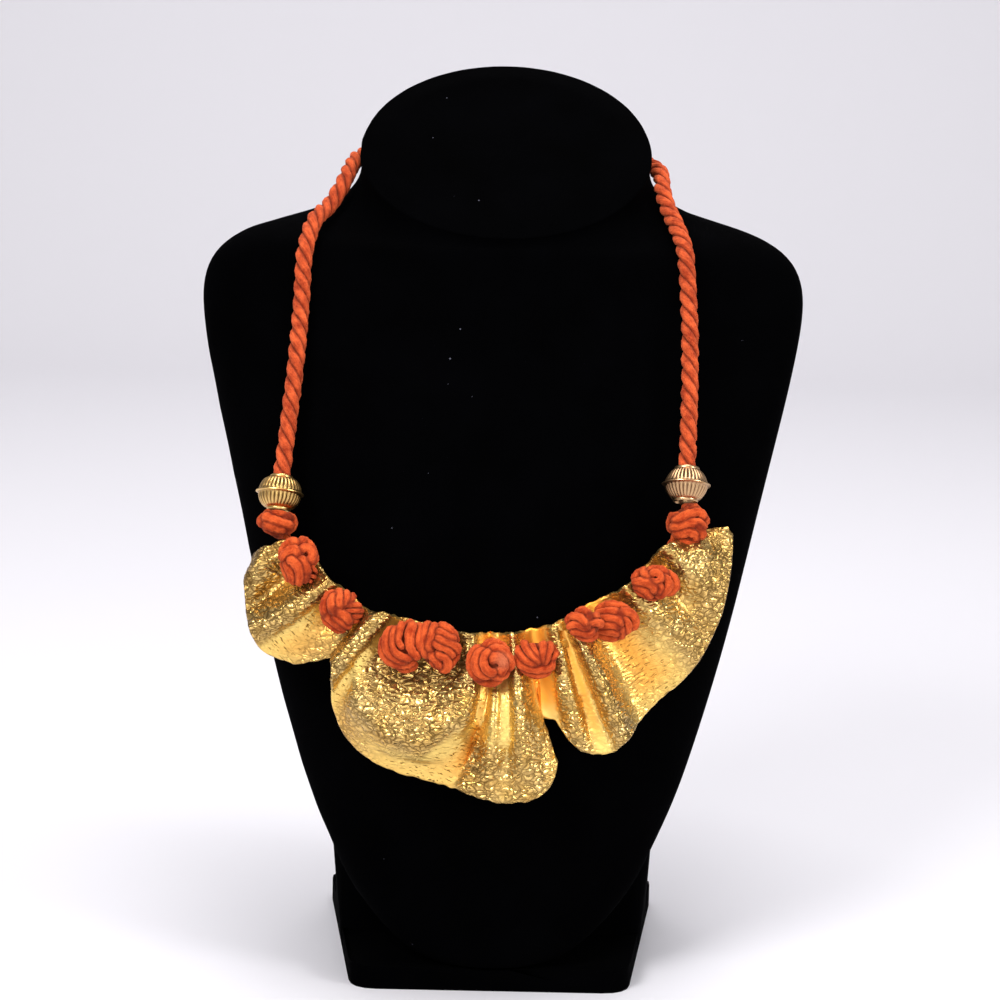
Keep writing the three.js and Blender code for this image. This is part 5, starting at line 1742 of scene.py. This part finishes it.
@dataclass
class FlutedBead:
    """A fluted bead of two bowls that meet in a seam, with a collar and a bore at each end."""

    name: str
    node: str
    centre: Vector
    up: Vector
    radius: float = 8.2 * MM
    height: float = 12 * MM
    domed: float = 0.0
    dome_share: float = 0.97
    cone_power: float = 1.35
    bowl_steps: int = 11
    # The seam where the bowls meet.
    seam_reach: float = 0.9 * MM
    seam_flat: float = 0.12 * MM
    seam_slope: float = 0.3 * MM
    seam_half: float = 0.5 * MM
    seam_fillet: float = 0.1 * MM
    seam_tarnish: float = 0.5
    # The collars and the bore.
    collar_radius: float = 4.2 * MM
    collar_height: float = 0.8 * MM
    collar_foot: float = 0.25 * MM
    collar_lift: float = 0.05 * MM
    collar_swell: float = 0.3 * MM
    collar_lip: float = 0.1 * MM
    bore_radius: float = 3.4 * MM
    bore_flat: float = 0.15 * MM
    bore_depth: float = 0.2 * MM
    # The flutes.
    flutes: int = 30
    flute_depth: float = 0.34 * MM
    flute_sharpness: float = 1.2
    flute_start: float = 0.1
    flute_tarnish: float = 1.1
    steps_round: int = 240
    crisp_above: float = 50.0

    def half_profile(self) -> list[ProfilePoint]:
        """Draw the outline from the seam up to the bore.

        Returns:
            The outline's points.
        """
        body = self.height / 2 - self.collar_height
        shell = self.radius - self.seam_reach
        top = self.height / 2
        outline = [(self.radius, self.seam_flat, 0.0), (self.radius - self.seam_slope, self.seam_slope, 0.0),
                   (shell + self.seam_fillet, self.seam_half, self.flute_start)]
        for i in range(1, self.bowl_steps + 1):
            t = i / self.bowl_steps
            cone = 1 - t**self.cone_power
            dome = math.sqrt(1 - (self.dome_share * t) ** 2)
            out = self.collar_radius + (shell - self.collar_radius) * (cone + (dome - cone) * self.domed)
            up = self.seam_half + (body - self.seam_half) * t
            flute = math.sin(math.pi * min(1.0, t * (1 - self.flute_start) + self.flute_start)) ** 0.5
            outline.append((out, up, flute))
        outline += [(self.collar_radius + self.collar_foot, body + self.collar_lift, 0.0),
                    (self.collar_radius + self.collar_swell, (body + top) / 2, 0.0),
                    (self.collar_radius + self.collar_lip, top, 0.0),
                    (self.bore_radius + self.bore_flat, top, 0.0), (self.bore_radius, top - self.bore_depth, 0.0)]
        return [ProfilePoint(*point) for point in outline]

    def press_flutes(self, piece: bpy.types.Object, outline: list[ProfilePoint]) -> None:
        """Press the flutes into the spun bead, and mark them and the seam for tarnish.

        Args:
            piece: the bead.
            outline: the outline that it was spun from.
        """
        depth_at = {point.key(): point.flute for point in outline}
        grooves = []
        for vertex in piece.data.vertices:
            out = math.hypot(vertex.co.x, vertex.co.y)
            flute = depth_at.get(ProfilePoint(out, vertex.co.z, 0.0).key(), 0.0)
            angle = math.atan2(vertex.co.y, vertex.co.x)
            pressed = flute * (1 - abs(math.cos(angle * self.flutes / 2))) ** self.flute_sharpness
            shrink = 1 - pressed * self.flute_depth / max(out, MM)
            vertex.co.x *= shrink
            vertex.co.y *= shrink
            at_seam = abs(abs(vertex.co.z) - self.seam_half) < self.seam_fillet
            grooves.append(min(1.0, pressed * self.flute_tarnish + self.seam_tarnish * at_seam))
        point_values(piece, "groove", grooves)

    def build(self, finish: bpy.types.Material) -> None:
        """Model the bead: set a ring of points on its outline, spin it, press the flutes in and place it.

        Args:
            finish: its material.
        """
        upper = self.half_profile()
        outline = upper + [ProfilePoint(point.out, -point.up, point.flute) for point in reversed(upper)]
        piece = primitive(bpy.ops.mesh.primitive_circle_add, self.name, vertices=len(outline), radius=self.radius)
        for vertex, point in zip(piece.data.vertices, outline):
            vertex.co = (point.out, 0, point.up)
        bpy.ops.object.mode_set(mode="EDIT")
        bpy.ops.mesh.select_all(action="SELECT")
        bpy.ops.mesh.spin(steps=self.steps_round, angle=TURN, center=(0, 0, 0), axis=(0, 0, 1), use_auto_merge=True)
        bpy.ops.mesh.select_all(action="SELECT")
        bpy.ops.mesh.remove_doubles(threshold=MERGE / 2)
        bpy.ops.mesh.normals_make_consistent(inside=False)
        bpy.ops.object.mode_set(mode="OBJECT")
        self.press_flutes(piece, outline)
        smooth_below(piece, self.crisp_above)
        turned = Vector((0, 0, 1)).rotation_difference(self.up).to_matrix().to_4x4()
        settle(piece, Matrix.Translation(self.centre) @ turned)
        dress(piece, finish, self.node)


@dataclass
class BarrelClasp:
    """The plain barrel at the nape, with a rim at each end and a bore for each rope."""

    centre: Vector
    radius: float = 4.7 * MM
    length: float = 24 * MM
    rim_height: float = 0.8 * MM
    rim_length: float = 2.4 * MM
    seam_half: float = 0.35 * MM
    seam_depth: float = 0.35 * MM
    bore_radius: float = 3.4 * MM
    bore_depth: float = 4.8 * MM
    bevel: float = 0.25 * MM
    bevel_segments: int = 2
    crisp_above: float = 40.0
    seam_tarnish: float = 0.8
    seam_tarnish_half: float = 0.5 * MM
    seam_tarnish_depth: float = 0.1 * MM
    tarnish: float = 0.1
    sides: int = 64
    flat: float = 0.9
    upright: float = 0.5
    middle_reach: float = 0.5 * MM

    def bore(self, piece: bpy.types.Object, side: int) -> None:
        """Inset one end of the barrel and sink its bore.

        Args:
            piece: the barrel, in edit mode.
            side: 1 for the upper end and -1 for the lower one.
        """
        end = self.length / 2 - MERGE

        def on_end(face: bmesh.types.BMFace) -> bool:
            """Whether a face lies on this end."""
            return face.normal.z * side > self.flat and face.calc_center_median().z * side > end

        select_faces(piece, on_end)
        bpy.ops.mesh.inset(thickness=self.radius - self.bore_radius)
        select_faces(piece, lambda face: on_end(face)
                     and face.calc_center_median().to_2d().length < self.middle_reach)
        bpy.ops.mesh.extrude_region_move(TRANSFORM_OT_translate={"value": (0, 0, -side * self.bore_depth)})

    def raise_wall(self, piece: bpy.types.Object, low: float, high: float, height: float) -> None:
        """Raise or sink the barrel's wall between two distances from its middle.

        Args:
            piece: the barrel, in edit mode.
            low: the nearer distance.
            high: the farther one.
            height: how far the wall is raised.
        """
        select_faces(piece, lambda face: abs(face.normal.z) < self.upright
                     and low < abs(face.calc_center_median().z) < high)
        bpy.ops.mesh.extrude_region_shrink_fatten(TRANSFORM_OT_shrink_fatten={"value": height})

    def build(self, finish: bpy.types.Material) -> None:
        """Model the clasp: a cylinder whose ends are raised as rims, then inset and bored.

        Args:
            finish: its material.
        """
        piece = primitive(bpy.ops.mesh.primitive_cylinder_add, "turned_barrel_clasp",
                          vertices=self.sides, radius=self.radius, depth=self.length)
        rim_inner = self.length / 2 - self.rim_length
        bpy.ops.object.mode_set(mode="EDIT")
        for level in (-rim_inner, rim_inner, -self.seam_half, self.seam_half):
            bpy.ops.mesh.select_all(action="SELECT")
            bpy.ops.mesh.bisect(plane_co=(0, 0, level), plane_no=(0, 0, 1))
        self.raise_wall(piece, rim_inner, self.length, self.rim_height)
        self.raise_wall(piece, -1.0, self.seam_half, -self.seam_depth)
        for side in (-1, 1):
            self.bore(piece, side)
        bpy.ops.object.mode_set(mode="OBJECT")
        apply_modifier(piece, "BEVEL", width=self.bevel, segments=self.bevel_segments, limit_method="ANGLE",
                       angle_limit=math.radians(self.crisp_above))
        sunk = self.radius - self.seam_tarnish_depth
        point_values(piece, "groove", [
            self.seam_tarnish if abs(vertex.co.z) < self.seam_tarnish_half and vertex.co.to_2d().length < sunk
            else self.tarnish for vertex in piece.data.vertices])
        smooth_below(piece, self.crisp_above)
        settle(piece, Matrix.Translation(self.centre) @ Matrix.Rotation(TURN / 4, 4, "Y"))
        dress(piece, finish, "barrel_clasp")


# The bust


@dataclass
class Bust:
    """The velvet neck bust and the base that it stands on."""

    rim_crease: float = 0.85
    rim_above: float = 250 * MM
    rim_turn: float = 35.0
    smoothings: int = 2
    waist_height: float = 40 * MM
    foot_height: float = 9 * MM
    plate_front: float = -58 * MM
    plate_half_front: float = 47.5 * MM
    plate_flare: float = 0.115
    base_bevel: float = 1.4 * MM
    bevel_segments: int = 3
    bevel_above: float = 50.0
    crisp_above: float = 45.0

    def torso(self, finish: bpy.types.Material) -> None:
        """Smooth the torso's solid, keeping the crisp rim of its neck.

        Args:
            finish: the velvet.
        """
        piece = copy_of("bust_body", "velvet_torso")
        mesh = piece.data
        normals = {}
        for polygon in mesh.polygons:
            for key in polygon.edge_keys:
                normals.setdefault(key, []).append(polygon.normal.copy())
        creases = []
        for edge in mesh.edges:
            sides = normals.get(tuple(sorted(edge.vertices)), [])
            high = all(mesh.vertices[i].co.z > self.rim_above for i in edge.vertices)
            sharp = len(sides) == 2 and sides[0].angle(sides[1], 0) > math.radians(self.rim_turn)
            creases.append(self.rim_crease if high and sharp else 0.0)
        mesh.attributes.new("crease_edge", "FLOAT", "EDGE").data.foreach_set("value", creases)
        apply_modifier(piece, "SUBSURF", levels=self.smoothings, render_levels=self.smoothings)
        only(piece)
        bpy.ops.object.shade_smooth()
        dress(piece, finish, "bust_body")

    def base(self, finish: bpy.types.Material) -> None:
        """Draw the riser's foot in towards its plate, and round the base's edges as wrapped velvet does.

        Args:
            finish: the velvet.
        """
        piece = copy_of("bust_base", "velvet_base")
        bpy.ops.object.mode_set(mode="EDIT")
        bpy.ops.mesh.select_all(action="SELECT")
        bpy.ops.mesh.bisect(plane_co=(0, 0, self.waist_height), plane_no=(0, 0, 1))
        bpy.ops.object.mode_set(mode="OBJECT")
        for vertex in piece.data.vertices:
            if vertex.co.z < self.foot_height:
                edge = self.plate_half_front + (vertex.co.y - self.plate_front) * self.plate_flare
                vertex.co.x = max(-edge, min(edge, vertex.co.x))
        apply_modifier(piece, "BEVEL", width=self.base_bevel, segments=self.bevel_segments, limit_method="ANGLE",
                       angle_limit=math.radians(self.bevel_above))
        smooth_below(piece, self.crisp_above)
        dress(piece, finish, "bust_base")


def main() -> None:
    """Build the studio, then the ropes, the bib, its knots, the beads, the clasp and the bust."""
    logging.basicConfig(level=logging.INFO)
    Studio().build()
    cotton = CottonCord().material()
    rope_cotton = CottonCord("dyed_three_ply_cotton", lit="dc5e30", shade="8e2c12").material()
    antique = AntiqueGold().material()
    warm_antique = AntiqueGold("satin_warm_gold_plate", crest="dfb872", groove="7d5a30").material()
    velvet = Velvet().material()
    left_rope = TwistedRope("twisted_rope_left", "neck_rope_left", LEFT_ROPE_POINTS_MM)
    right_rope = TwistedRope("twisted_rope_right", "neck_rope_right", RIGHT_ROPE_POINTS_MM)
    left_rope.build(rope_cotton)
    right_rope.build(rope_cotton)
    bib = Bib()
    Lace().build(cotton, bib)
    bib.build(CastGold().material())
    Knots().build(cotton, bib)
    FlutedBead("fluted_bead_left", "bead_left", middle_of("bead_left"), left_rope.heading(),
               domed=0.9, collar_radius=3.6 * MM).build(warm_antique)
    FlutedBead("fluted_bead_right", "bead_right", middle_of("bead_right"), right_rope.heading(),
               domed=0.45, collar_radius=4.0 * MM).build(antique)
    BarrelClasp(middle_of("barrel_clasp")).build(antique)
    bust = Bust()
    bust.torso(velvet)
    bust.base(velvet)


if __name__ == "__main__":
    main()
